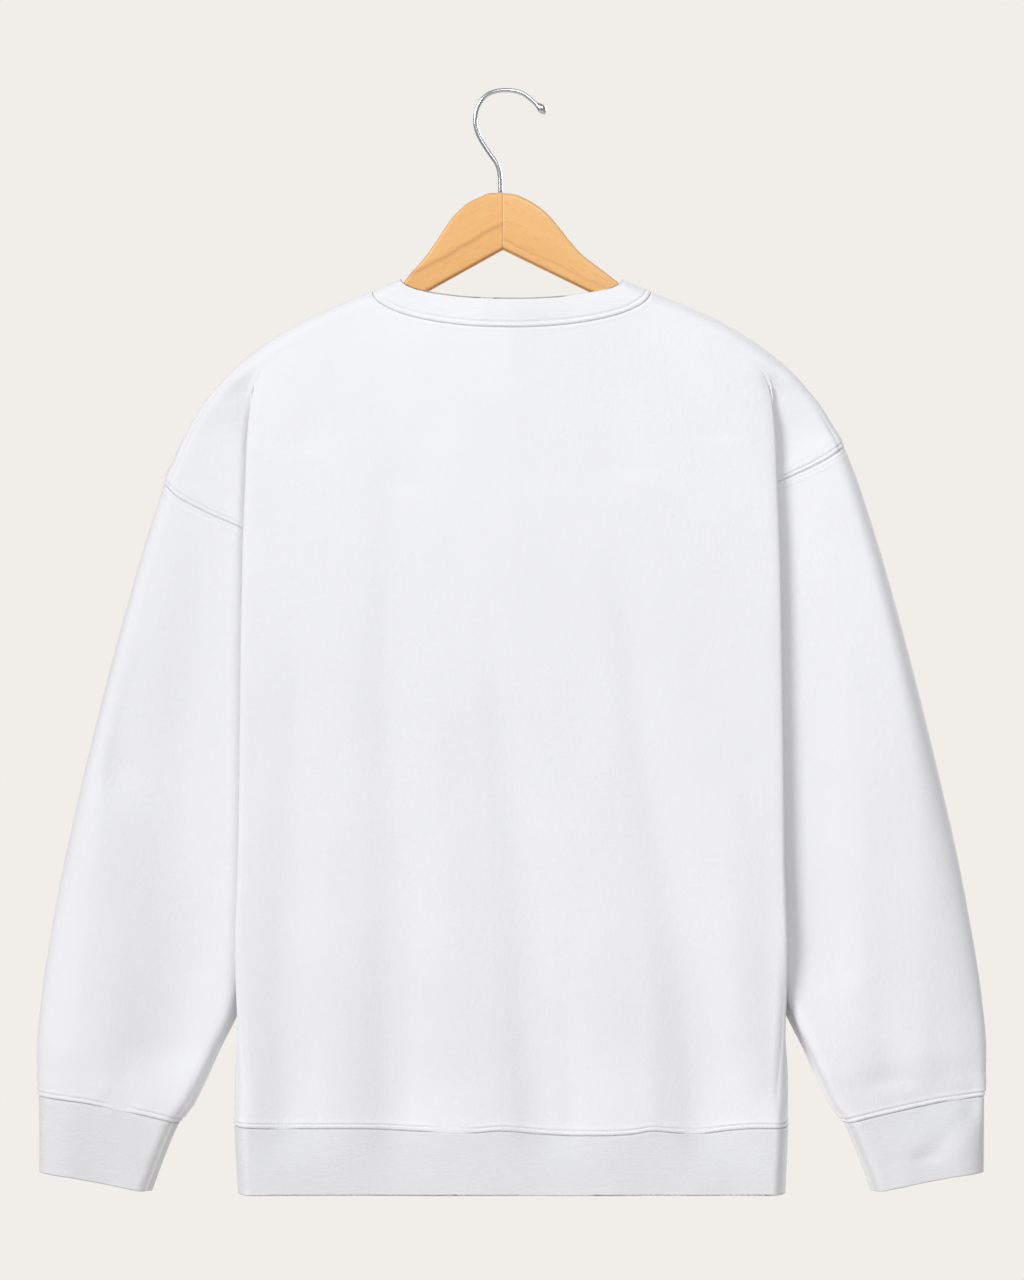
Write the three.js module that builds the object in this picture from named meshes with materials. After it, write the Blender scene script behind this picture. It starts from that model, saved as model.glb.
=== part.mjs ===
import * as THREE from 'three';

// Crewneck sweatshirt on a wooden hanger, millimetres, +Z up.
// The origin is the inside top of the hook. The back of the garment faces -Y.
// "half" values are distances from the garment's middle plane.

const GARMENT_MIDDLE_X = 3.8;
const CLOTH_WALL = 2.0;
const RIB_WALL = 2.8;
const SEAM_GAP = 0.34;

// Outer outline of the shoulders and sleeves: height and half width.
const OUTLINE = [
  { z: -157, half: 92 },
  { z: -167, half: 117 },
  { z: -187.7, half: 166 },
  { z: -207.9, half: 201.6 },
  { z: -228.1, half: 228.5 },
  { z: -248.2, half: 247.8 },
  { z: -268.4, half: 263.5 },
  { z: -308.7, half: 283.9 },
  { z: -363.3, half: 302.8 },
  { z: -426.3, half: 321.3 },
  { z: -510.3, half: 343.6 },
  { z: -594.3, half: 364.1 },
  { z: -678.3, half: 381.8 },
  { z: -762.3, half: 395.2 },
  { z: -804.3, half: 398.6 },
  { z: -846.3, half: 397 },
  { z: -930, half: 396.6 },
];

// Side fold of the body. edge: where the flat panel turns in. valley: how far in the cloth goes.
// lip: thickness of the turned edge. folded: 0 flat to 1 fully turned.
const SIDE_FOLD = [
  { z: -157, edge: 68, valley: 72, lip: 6, folded: 0 },
  { z: -167, edge: 84, valley: 88, lip: 6, folded: 0 },
  { z: -187.7, edge: 128, valley: 132, lip: 6, folded: 0 },
  { z: -207.9, edge: 165, valley: 169, lip: 6, folded: 0 },
  { z: -222, edge: 191, valley: 195, lip: 6, folded: 0 },
  { z: -236, edge: 211, valley: 213, lip: 6, folded: 0.05 },
  { z: -256, edge: 218, valley: 216, lip: 7, folded: 0.6 },
  { z: -290, edge: 221, valley: 208, lip: 8, folded: 1 },
  { z: -330, edge: 222.5, valley: 200, lip: 9, folded: 1 },
  { z: -383, edge: 224.5, valley: 184, lip: 10, folded: 1 },
  { z: -460, edge: 226, valley: 150, lip: 10, folded: 1 },
  { z: -552, edge: 227, valley: 165, lip: 10, folded: 1 },
  { z: -636, edge: 228, valley: 186, lip: 10, folded: 1 },
  { z: -720, edge: 230.5, valley: 208, lip: 10, folded: 1 },
  { z: -768, edge: 232, valley: 220, lip: 10, folded: 1 },
  { z: -804, edge: 233, valley: 226, lip: 9, folded: 1 },
  { z: -868, edge: 232.4, valley: 231, lip: 9, folded: 1 },
  { z: -930, edge: 229.6, valley: 229, lip: 9, folded: 1 },
];

// Inner edge of the sleeve below the underarm.
const SLEEVE_INNER = [
  { z: -460, half: 150.6, round: 2 },
  { z: -482, half: 156, round: 12 },
  { z: -552, half: 171, round: 24 },
  { z: -636, half: 192, round: 28 },
  { z: -720, half: 216, round: 28 },
  { z: -768, half: 231.5, round: 28 },
  { z: -804, half: 249, round: 28 },
  { z: -846, half: 268.6, round: 26 },
  { z: -866, half: 282.7, round: 24 },
  { z: -895, half: 295.5, round: 22 },
  { z: -930, half: 308.5, round: 20 },
];

// Half depth of the sleeve and width of its rounded outer edge, by height at the inner edge.
const SLEEVE_DEPTH = [
  { z: -157, deep: 60, rounding: 11 },
  { z: -236, deep: 60, rounding: 11 },
  { z: -290, deep: 40, rounding: 14 },
  { z: -330, deep: 30, rounding: 22 },
  { z: -400, deep: 27, rounding: 34 },
  { z: -500, deep: 26, rounding: 44 },
  { z: -700, deep: 27, rounding: 46 },
  { z: -820, deep: 26, rounding: 40 },
  { z: -866, deep: 19.5, rounding: 32 },
  { z: -895, deep: 19, rounding: 30 },
  { z: -930, deep: 18.5, rounding: 28 },
];

// Armhole seams: height on the outer edge and height at the bottom of the side fold.
const ARMHOLE = {
  left: { outer: -329, inner: -383 },
  right: { outer: -298, inner: -338 },
};
const UNDERARM_Z = -460;
const SLEEVE_SEAM_DROP = 22.6;
const CUFF_SEAM_Z = -843;
const CUFF_BOTTOM = { outer: -906.8, inner: -922.7 };
const HEM_SEAM_Z = -868.1;
const HEM_BOTTOM_Z = -923.6;

// Neck seam: half ellipses through the two neck points on the shoulder line.
const NECK = { half: 117, z: -167, backDrop: 31.7, frontDrop: 103 };
// Free edge of the neck rib.
const NECK_EDGE = { half: 93.5, z: -155.5, backDrop: 18, frontDrop: 90.5, tuck: 0.86 };

// The body hangs clear of the hanger: rounding over the arm, then how far it swells.
const SHOULDER_ROUND = 11;
const BODY_SWELL = 32;
const BODY_SWELL_DROP = 140;
const MIDDLE_SWELL = 0.1;
const VIRTUAL_RIDGE_SLOPE = 0.42;
const HEM_HALF_DEPTH = 31;
const HEM_ROUND = 26;
const HEM_EASE = { from: -700, to: -868.1 };
const SIDE_STEPS = 9;
// The turned edge of the side fold: how long its corners are, and its spread while still flat.
const TURN = { edgeReach: 10, valleyReach: 4, flatStart: 4, flatSpread: 10 };
// The sleeve closes along its inner edge within this height below the underarm, not quite to nothing.
const SLEEVE_CLOSING = { most: 0.78, within: 90, bottomWithin: 60, bottomInset: 4 };
const NECK_RIB_SWELL = 0.06;
const FOLD_CLEARANCE = 4;

// Large soft folds of the panels: top and bottom ends, half width and depth in millimetres.
// A negative depth is a ridge.
const BACK_FOLDS = [
  { x0: -190, z0: -400, x1: -206, z1: -868, wide: 16, deep: 3.2 },
  { x0: -112, z0: -300, x1: -116, z1: -868, wide: 20, deep: 3.6 },
  { x0: -12, z0: -485, x1: 17, z1: -868, wide: 18, deep: 3.4 },
  { x0: 80, z0: -390, x1: 152, z1: -868, wide: 20, deep: 3.8 },
  { x0: -62, z0: -520, x1: -48, z1: -850, wide: 24, deep: -2.4 },
  { x0: 60, z0: -560, x1: 82, z1: -850, wide: 24, deep: -2.2 },
  { x0: 208, z0: -640, x1: 214, z1: -850, wide: 12, deep: 2.2 },
];
const FRONT_FOLDS = [
  { x0: -176, z0: -420, x1: -192, z1: -868, wide: 18, deep: 3.4 },
  { x0: -88, z0: -380, x1: -104, z1: -868, wide: 20, deep: 3.2 },
  { x0: 6, z0: -500, x1: -8, z1: -868, wide: 20, deep: 3.0 },
  { x0: 96, z0: -360, x1: 118, z1: -868, wide: 20, deep: 3.6 },
  { x0: 182, z0: -450, x1: 198, z1: -868, wide: 16, deep: 3.2 },
  { x0: 50, z0: -540, x1: 44, z1: -850, wide: 24, deep: -2.4 },
];
// Soft folds of the sleeves, the same on the back and the front of each.
const SLEEVE_FOLDS = [
  { x0: -314, z0: -415, x1: -338, z1: -580, wide: 16, deep: 2.6 },
  { x0: -352, z0: -600, x1: -330, z1: -800, wide: 22, deep: 2.8 },
  { x0: -270, z0: -560, x1: -284, z1: -800, wide: 18, deep: -1.8 },
  { x0: 348, z0: -560, x1: 368, z1: -800, wide: 18, deep: 2.8 },
  { x0: 280, z0: -460, x1: 290, z1: -760, wide: 16, deep: -1.8 },
  { x0: 304, z0: -720, x1: 312, z1: -840, wide: 14, deep: 2.4 },
];

// How finely the cloth is divided.
const MAIN_COLUMNS = 8;
const LOBE_COLUMNS = 3;
const YOKE_ROWS = 9;
const ARMHOLE_ROWS = 3;
const BODY_ROWS = 11;
const SLEEVE_ROWS = 11;
const RIB_ROWS = 2;
const NECK_ROWS = 2;

// Wooden hanger. reach: distance from its middle line; heights of the top edge on each side.
const HANGER_MIDDLE_X = -3.4;
const HANGER_HALF_THICK = 6;
const HANGER_TOP = [
  { reach: 0, left: -84.4, right: -84.4 },
  { reach: 10, left: -84.4, right: -85.6 },
  { reach: 20, left: -88.2, right: -89.8 },
  { reach: 30, left: -93.2, right: -95.8 },
  { reach: 40, left: -102.2, right: -104.6 },
  { reach: 48, left: -112.7, right: -114.2 },
  { reach: 56, left: -125, right: -124.4 },
  { reach: 66, left: -138.9, right: -135.7 },
  { reach: 76, left: -150.2, right: -143.7 },
  { reach: 84, left: -160.6, right: -149.6 },
  { reach: 98, left: -172, right: -160.6 },
];
const HANGER_BARE_HALF = 91;
const HANGER_UNDER_PANEL = { from: 112, within: 14 };
const HANGER_BOTTOM = { z: -132.3, leftSlope: 0.558, rightSlope: 0.488 };
const HANGER_END_HALF = 210;
const HANGER_END_ROUND = 9;
const HANGER_UNDER_RIB = 3.9;
const HANGER_UNDER_CLOTH = 3.3;
const HANGER_EDGE_ROUND = 4;
const HANGER_JOINT = 0.3;
const HANGER_STATIONS = 20;
const HANGER_CORNER_STEPS = 3;

// Hook wire: middle line in the XZ plane from the wood up and round to the tip, and its radius.
const HOOK_PATH = [
  { x: -5.6, z: -84.0, r: 1.9 },
  { x: -5.8, z: -76, r: 1.9 },
  { x: -6.3, z: -68, r: 1.9 },
  { x: -8.6, z: -60, r: 1.9 },
  { x: -13.4, z: -53, r: 1.9 },
  { x: -18.8, z: -45, r: 1.9 },
  { x: -23.4, z: -37, r: 1.9 },
  { x: -26.2, z: -29, r: 1.9 },
  { x: -26.7, z: -22, r: 1.9 },
  { x: -25.2, z: -13.6, r: 1.9 },
  { x: -21.2, z: -6.2, r: 1.9 },
  { x: -15, z: -1, r: 1.9 },
  { x: -7.6, z: 1.4, r: 1.9 },
  { x: 0, z: 1.9, r: 1.9 },
  { x: 7.6, z: 1.0, r: 1.9 },
  { x: 14.4, z: -1.6, r: 1.9 },
  { x: 20.2, z: -6, r: 1.9 },
  { x: 24.6, z: -9.8, r: 2.0 },
  { x: 27.2, z: -11.9, r: 3.2 },
  { x: 28.9, z: -13.6, r: 3.7 },
  { x: 30.4, z: -15.8, r: 3.1 },
  { x: 31.4, z: -17.6, r: 1.5 },
];
const WIRE_SIDES = 10;
const WIRE_STEPS = 46;

const CLOTH = { color: 0xeeeff3, roughness: 0.95, metalness: 0 };
const RIB = { color: 0xe9eaee, roughness: 0.95, metalness: 0 };
const WOOD = { color: 0xecb877, roughness: 0.45, metalness: 0 };
const CHROME = { color: 0xb9bcc2, roughness: 0.15, metalness: 1 };

const mix = (a, b, t) => a + (b - a) * t;
const clamp = (v, low, high) => Math.min(Math.max(v, low), high);
const ease = (t) => {
  const s = clamp(t, 0, 1);
  return s * s * (3 - 2 * s);
};

// Smooth curve through the rows of a table without overshoot between them.
function through(rows, at, value) {
  const xs = rows.map((row) => row[at]);
  const ys = rows.map((row) => row[value]);
  const up = xs[1] > xs[0];
  const steps = xs.slice(1).map((x, i) => (ys[i + 1] - ys[i]) / (x - xs[i]));
  const slopes = xs.map((x, i) => {
    if (i === 0) return steps[0];
    if (i === xs.length - 1) return steps[i - 1];
    if (steps[i - 1] * steps[i] <= 0) return 0;
    return (2 * steps[i - 1] * steps[i]) / (steps[i - 1] + steps[i]);
  });
  return (x) => {
    let i = 0;
    while (i < xs.length - 2 && (up ? x > xs[i + 1] : x < xs[i + 1])) i += 1;
    const width = xs[i + 1] - xs[i];
    const t = clamp((x - xs[i]) / width, 0, 1);
    const t2 = t * t;
    const t3 = t2 * t;
    return (2 * t3 - 3 * t2 + 1) * ys[i] + (t3 - 2 * t2 + t) * width * slopes[i]
      + (3 * t2 - 2 * t3) * ys[i + 1] + (t3 - t2) * width * slopes[i + 1];
  };
}

const armHalf = through(OUTLINE, 'z', 'half');
const ridgeHeight = through(OUTLINE, 'half', 'z');
const edgeHalf = through(SIDE_FOLD, 'z', 'edge');
const valleyHalf = through(SIDE_FOLD, 'z', 'valley');
const lipDepth = through(SIDE_FOLD, 'z', 'lip');
const foldedAmount = through(SIDE_FOLD, 'z', 'folded');
const innerHalf = through(SLEEVE_INNER, 'z', 'half');
const innerRound = through(SLEEVE_INNER, 'z', 'round');
const sleeveDeep = through(SLEEVE_DEPTH, 'z', 'deep');
const sleeveRounding = through(SLEEVE_DEPTH, 'z', 'rounding');

// How much a level step shrinks when measured square to the outline.
function outlineTilt(z) {
  const run = (armHalf(z - 2) - armHalf(z + 2)) / 4;
  return 1 / Math.sqrt(1 + run * run);
}

const roundedEdge = (t) => Math.sqrt(1 - (1 - clamp(t, 0, 1)) ** 2);

function foldsAt(folds, x, z) {
  let sum = 0;
  for (const fold of folds) {
    const t = (fold.z0 - z) / (fold.z0 - fold.z1);
    const path = mix(fold.x0, fold.x1, clamp(t, -0.2, 1));
    const away = (x - path) / (fold.wide * mix(0.8, 1.2, clamp(t, 0, 1)));
    const strength = ease(t / 0.45 + 0.35) * ease((1.06 - t) / 0.12);
    sum += fold.deep * strength * Math.exp(-away * away);
  }
  return sum;
}

// Height of the shoulder line above a place, carried on in a straight line over the neck.
function ridgeAbove(x) {
  if (x < NECK.half) return NECK.z + (NECK.half - x) * VIRTUAL_RIDGE_SLOPE;
  return ridgeHeight(Math.min(x, edgeHalf(UNDERARM_Z)));
}

const hemEase = (z) => ease((z - HEM_EASE.from) / (HEM_EASE.to - HEM_EASE.from));

// Half depth of the smooth body at a place.
function bareDepth(x, z) {
  const nose = SHOULDER_ROUND * roundedEdge(((armHalf(z) - x) * outlineTilt(z)) / SHOULDER_ROUND);
  const drop = Math.max(ridgeAbove(x) - z, 0);
  const middle = 1 - MIDDLE_SWELL * (x / edgeHalf(z)) ** 2;
  const swell = BODY_SWELL * (1 - Math.exp(-drop / BODY_SWELL_DROP)) * middle;
  return mix(nose + swell, HEM_HALF_DEPTH, hemEase(z));
}

// The same with the panel's folds; face -1 is the back, 1 the front.
function bodyDepth(x, z, side, face) {
  return bareDepth(x, z) - foldsAt(face < 0 ? BACK_FOLDS : FRONT_FOLDS, side * x, z);
}

// Half depth of the cloth that lies behind the turned edge.
function lobeDeep(z, level) {
  const clear = bareDepth(edgeHalf(z), Math.max(z, HEM_EASE.from)) - lipDepth(z) - FOLD_CLEARANCE;
  return Math.min(clear, sleeveDeep(level));
}

// Half depth of the cloth outside the side fold, and of the sleeve and cuff.
function sleeveDepth(x, z, along, side) {
  const level = z - SLEEVE_SEAM_DROP * along;
  const outerEdge = roundedEdge(((armHalf(z) - x) * outlineTilt(z)) / sleeveRounding(level));
  const closing = SLEEVE_CLOSING.most * ease((UNDERARM_Z - z) / SLEEVE_CLOSING.within);
  const inner = z > UNDERARM_Z ? valleyHalf(z) : innerHalf(z);
  const innerEdge = mix(1, roundedEdge((x - inner) / innerRound(z)), closing);
  const folds = foldsAt(SLEEVE_FOLDS, side * x, z);
  const folded = (lobeDeep(z, level) - folds) * outerEdge * innerEdge;
  return z < UNDERARM_Z ? folded : mix(bareDepth(x, z), folded, foldedAmount(z));
}

// Corners that steer the turned edge and the valley behind it.
function foldCorners(z, side, face) {
  const edge = edgeHalf(z);
  const valley = valleyHalf(z);
  const amount = foldedAmount(z);
  const deepEdge = bodyDepth(edge, z, side, face);
  const deepWall = bareDepth(edge, z) - lipDepth(z);
  const deepLobe = Math.min(deepWall - FOLD_CLEARANCE, lobeDeep(z, z));
  const turned = [
    { x: edge - TURN.edgeReach, y: deepEdge },
    { x: edge, y: deepEdge },
    { x: edge, y: deepWall },
    { x: edge - TURN.edgeReach, y: deepWall },
    { x: valley + TURN.valleyReach, y: deepWall },
    { x: valley, y: deepWall },
    { x: valley, y: deepLobe },
    { x: valley + TURN.valleyReach, y: deepLobe },
  ];
  return turned.map((corner, i) => {
    const x = edge - TURN.flatStart + (i * TURN.flatSpread) / (turned.length - 1);
    return { x: mix(x, corner.x, amount), y: mix(bodyDepth(x, z, side, face), corner.y, amount) };
  });
}

// Stops on the smooth curve steered by the corners: the middle of a leg, or the bend before it.
const FOLD_STOPS = [
  { leg: 1, bend: true },
  { leg: 1, bend: false },
  { leg: 2, bend: true },
  { leg: 2, bend: false },
  { leg: 4, bend: false },
  { leg: 5, bend: true },
  { leg: 5, bend: false },
];
const START_STOPS = [
  { leg: 6, bend: true, inset: 0.14 },
  { leg: 6, bend: false, inset: 0.45 },
];

function stopPoint(corners, stop) {
  const legMiddle = (i) => ({
    x: (corners[i].x + corners[i + 1].x) / 2,
    y: (corners[i].y + corners[i + 1].y) / 2,
  });
  const here = legMiddle(stop.leg);
  if (!stop.bend) return here;
  const before = legMiddle(stop.leg - 1);
  const corner = corners[stop.leg];
  return { x: (before.x + 2 * corner.x + here.x) / 4, y: (before.y + 2 * corner.y + here.y) / 4 };
}

// Stations across half of a panel, from the middle out: the main sheet, the side fold,
// the cloth outside the fold and the rounded outer edge. along: 0 at the fold, 1 at the outline.
const EDGE_STOPS = [1, 0.65, 0.35, 0.1, 0];
const STATIONS = [];
for (let i = 0; i <= MAIN_COLUMNS; i += 1) {
  STATIONS.push({ zone: 'main', part: i / MAIN_COLUMNS, along: 0 });
}
FOLD_STOPS.forEach((stop, i) => STATIONS.push({ zone: 'fold', stop, step: i + 1, along: 0 }));
START_STOPS.forEach((stop, i) => STATIONS.push({ zone: 'start', stop, along: 0.02 + 0.03 * i }));
for (let i = 1; i <= LOBE_COLUMNS; i += 1) {
  const part = i / (LOBE_COLUMNS + 1);
  STATIONS.push({ zone: 'lobe', part, along: mix(0.05, 0.8, part) });
}
EDGE_STOPS.forEach((q) => STATIONS.push({ zone: 'edge', q, along: 1 - 0.2 * q }));
const VALLEY_AT = MAIN_COLUMNS + FOLD_STOPS.length;
const RIDGE_AT = STATIONS.length - 1;
const SEAM_AT = RIDGE_AT - 2;

// Where the hem's rounded side carries a step of the side fold.
function hemSide(z, step) {
  const angle = (Math.PI / 2) * (1 - step / SIDE_STEPS);
  return {
    x: edgeHalf(z) - HEM_ROUND + HEM_ROUND * Math.cos(angle),
    y: HEM_HALF_DEPTH * Math.sin(angle),
  };
}

// Half width and half depth of a station at a height.
function profile(station, z, side, face) {
  const corners = foldCorners(z, side, face);
  const flat = stopPoint(corners, { leg: 0, bend: false });
  if (station.zone === 'main') {
    const x = station.part * mix(flat.x, edgeHalf(z) - HEM_ROUND, hemEase(z));
    return { x, y: bodyDepth(x, z, side, face) };
  }
  if (station.zone === 'fold') {
    const turned = stopPoint(corners, station.stop);
    const round = hemSide(z, station.step);
    return { x: mix(turned.x, round.x, hemEase(z)), y: mix(turned.y, round.y, hemEase(z)) };
  }
  if (station.zone === 'start' && z >= UNDERARM_Z) return stopPoint(corners, station.stop);
  const inner = z >= UNDERARM_Z ? stopPoint(corners, START_STOPS[1]).x : innerHalf(z);
  const start = inner + (z >= UNDERARM_Z ? 0 : Math.max(2, START_STOPS[1].inset * innerRound(z)));
  const outer = armHalf(z);
  const rounding = sleeveRounding(z - SLEEVE_SEAM_DROP * station.along) / outlineTilt(z);
  let x = outer - rounding * station.q;
  if (station.zone === 'start') x = inner + Math.max(1, station.stop.inset * innerRound(z));
  if (station.zone === 'lobe') x = mix(start, outer - rounding, station.part);
  return { x, y: sleeveDepth(x, z, station.along, side) };
}

const toPoint = (half, deep, z, side, face) => (
  new THREE.Vector3(GARMENT_MIDDLE_X + side * half, face * deep, z)
);

function place(column, z) {
  const at = profile(STATIONS[column.at], z, column.side, column.face);
  return toPoint(at.x, at.y, z, column.side, column.face);
}

const neckDrop = (sizes, face) => (face < 0 ? sizes.backDrop : sizes.frontDrop);

// Angle round the neck, 0 at the middle and a right angle at the shoulder, where a station ends.
function neckAngle(column) {
  let low = 0;
  let high = Math.PI / 2;
  for (let i = 0; i < 30; i += 1) {
    const angle = (low + high) / 2;
    const z = NECK.z - neckDrop(NECK, column.face) * Math.cos(angle);
    const at = profile(STATIONS[column.at], z, column.side, column.face);
    if (at.x > NECK.half * Math.sin(angle)) low = angle;
    else high = angle;
  }
  return STATIONS[column.at].part === 0 ? 0 : (low + high) / 2;
}

const armhole = (column) => (column.side < 0 ? ARMHOLE.left : ARMHOLE.right);
const middleSeam = (ARMHOLE.left.inner + ARMHOLE.right.inner) / 2;

// Height of a station on the row that meets the armhole seam.
function seamHeight(column) {
  const station = STATIONS[column.at];
  const seam = armhole(column);
  if (station.zone === 'main') return mix(middleSeam, seam.inner, station.part);
  return mix(seam.inner, seam.outer, station.along);
}

// A sheet of cloth: places keyed by row and column, joined by four-sided faces.
class Sheet {
  constructor() {
    this.points = [];
    this.faces = [];
    this.keys = new Map();
  }

  vertex(key, make) {
    if (!this.keys.has(key)) {
      this.keys.set(key, this.points.length);
      this.points.push(make());
    }
    return this.keys.get(key);
  }

  face(a, b, c, d, flip) {
    this.faces.push(flip ? [d, c, b, a] : [a, b, c, d]);
  }
}

const columnKey = (column) => {
  const middle = column.at === 0;
  const ridge = column.at === RIDGE_AT;
  return `${middle ? 0 : column.side}:${ridge ? 0 : column.face}:${column.at}`;
};

// Columns of a panel across the yoke, left to right.
function yokeColumns(face) {
  const half = [];
  for (let at = 0; at <= SEAM_AT; at += 1) half.push({ face, at });
  if (face > 0) {
    for (let at = SEAM_AT + 1; at <= RIDGE_AT; at += 1) half.push({ face, at });
    for (let at = RIDGE_AT - 1; at >= SEAM_AT; at -= 1) half.push({ face: -1, at });
  }
  const left = half.slice(1).reverse().map((column) => ({ ...column, side: -1 }));
  return [...left, ...half.map((column) => ({ ...column, side: 1 }))];
}

// Columns of a panel below the yoke, left to right, as far as the bottom of the side fold.
function lowerColumns(face) {
  const half = [];
  for (let at = 0; at <= VALLEY_AT; at += 1) half.push({ face, at });
  const left = half.slice(1).reverse().map((column) => ({ ...column, side: -1 }));
  return [...left, ...half.map((column) => ({ ...column, side: 1 }))];
}

// The bottom of the side fold, where the side seam runs. part: 0.5 half way, 1 on the seam.
function foldBottom(side, face, part, z) {
  const valley = profile(STATIONS[VALLEY_AT], z, side, face);
  const round = hemSide(z, FOLD_STOPS.length + 2 * part);
  const hem = hemEase(z);
  const inset = SLEEVE_CLOSING.bottomInset * part * ease((UNDERARM_Z - z) / SLEEVE_CLOSING.bottomWithin);
  const corner = stopPoint(foldCorners(z, side, face), FOLD_STOPS[FOLD_STOPS.length - 1]);
  const x = mix(corner.x - inset, round.x, hem);
  const y = mix(corner.y * (1 - part), round.y, hem);
  return toPoint(part === 0 ? valley.x : x, part === 0 ? valley.y : y, z, side, face);
}

const neckSeamPoint = (column) => {
  const angle = neckAngle(column);
  const z = NECK.z - neckDrop(NECK, column.face) * Math.cos(angle);
  const x = NECK.half * Math.sin(angle);
  const station = STATIONS[column.at];
  const deep = station.q === 0 ? 0 : bareDepth(x, z);
  return { x, z, deep, angle };
};

function yokePoint(column, row) {
  const part = row / YOKE_ROWS;
  if (row === 0) {
    const seam = neckSeamPoint(column);
    return toPoint(seam.x, seam.deep, seam.z, column.side, column.face);
  }
  const top = neckSeamPoint(column).z;
  return place(column, mix(top, seamHeight(column), part));
}

// Rows below the armhole row: first down to the underarm, then down to the hem.
function lowerHeight(column, row) {
  if (row <= ARMHOLE_ROWS) return mix(seamHeight(column), UNDERARM_Z, row / ARMHOLE_ROWS);
  return mix(UNDERARM_Z, HEM_SEAM_Z, (row - ARMHOLE_ROWS) / BODY_ROWS);
}

function panelSheet(face) {
  const sheet = new Sheet();
  const flip = face > 0;
  const yoke = yokeColumns(face);
  const lower = lowerColumns(face);
  const yokeVertex = (column, row) => (
    sheet.vertex(`y${row}:${columnKey(column)}`, () => yokePoint(column, row))
  );
  const lowerVertex = (column, row) => {
    if (row === 0) return yokeVertex(column, YOKE_ROWS);
    return sheet.vertex(`l${row}:${columnKey(column)}`, () => place(column, lowerHeight(column, row)));
  };
  for (let row = 0; row < YOKE_ROWS; row += 1) {
    for (let i = 0; i < yoke.length - 1; i += 1) {
      sheet.face(
        yokeVertex(yoke[i], row),
        yokeVertex(yoke[i], row + 1),
        yokeVertex(yoke[i + 1], row + 1),
        yokeVertex(yoke[i + 1], row),
        flip,
      );
    }
  }
  const rows = ARMHOLE_ROWS + BODY_ROWS;
  for (let row = 0; row < rows; row += 1) {
    for (let i = 0; i < lower.length - 1; i += 1) {
      sheet.face(
        lowerVertex(lower[i], row),
        lowerVertex(lower[i], row + 1),
        lowerVertex(lower[i + 1], row + 1),
        lowerVertex(lower[i + 1], row),
        flip,
      );
    }
  }
  const bottomVertex = (side, part, row) => {
    const column = { side, face, at: VALLEY_AT };
    if (part === 0) return lowerVertex(column, row);
    const z = lowerHeight(column, row);
    return sheet.vertex(`b${row}:${side}:${part}`, () => foldBottom(side, face, part, z));
  };
  for (const side of [-1, 1]) {
    for (let row = ARMHOLE_ROWS; row < rows; row += 1) {
      for (const part of [0, 0.5]) {
        sheet.face(
          bottomVertex(side, part, row),
          bottomVertex(side, part, row + 1),
          bottomVertex(side, part + 0.5, row + 1),
          bottomVertex(side, part + 0.5, row),
          side < 0 ? !flip : flip,
        );
      }
    }
  }
  return sheet;
}

// Columns round a sleeve from the fold on the back, over the outer edge, to the fold on the front.
const SLEEVE_COLUMNS = [];
for (let at = VALLEY_AT; at <= RIDGE_AT; at += 1) SLEEVE_COLUMNS.push({ face: -1, at });
for (let at = RIDGE_AT - 1; at >= VALLEY_AT; at -= 1) SLEEVE_COLUMNS.push({ face: 1, at });

// Heights at the inner and the outer edge of a row of the sleeve.
function sleeveRow(side, row) {
  const seam = side < 0 ? ARMHOLE.left : ARMHOLE.right;
  const seamToUnder = mix(seam.inner, UNDERARM_Z, row / ARMHOLE_ROWS);
  const underToCuff = mix(UNDERARM_Z, CUFF_SEAM_Z - SLEEVE_SEAM_DROP, (row - ARMHOLE_ROWS) / SLEEVE_ROWS);
  const inner = row <= ARMHOLE_ROWS ? seamToUnder : underToCuff;
  const part = (seam.inner - inner) / (seam.inner - CUFF_SEAM_Z + SLEEVE_SEAM_DROP);
  return { inner, outer: mix(seam.outer, CUFF_SEAM_Z, part) };
}

const cuffRow = (row) => ({
  inner: mix(CUFF_SEAM_Z - SLEEVE_SEAM_DROP, CUFF_BOTTOM.inner, row / RIB_ROWS),
  outer: mix(CUFF_SEAM_Z, CUFF_BOTTOM.outer, row / RIB_ROWS),
});

function sleevePoint(side, column, heights) {
  const station = STATIONS[column.at];
  const z = mix(heights.inner, heights.outer, station.along);
  if (station.zone !== 'fold' || z > UNDERARM_Z) return place({ ...column, side }, z);
  const x = innerHalf(z);
  return toPoint(x, sleeveDepth(x, z, 0, side), z, side, column.face);
}

// The rounded inner edge of the sleeve; part -1 on the back, 1 on the front.
function innerEdgePoint(side, part, heights) {
  const z = heights.inner;
  const x = innerHalf(z);
  const room = Math.min(SLEEVE_CLOSING.bottomInset, (x - valleyHalf(z)) / 2);
  const swell = room * ease((UNDERARM_Z - z) / SLEEVE_CLOSING.bottomWithin);
  const deep = sleeveDepth(x, z, 0, side) * Math.abs(part);
  return toPoint(x - swell * (1 - part * part), deep, z, side, Math.sign(part));
}

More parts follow.
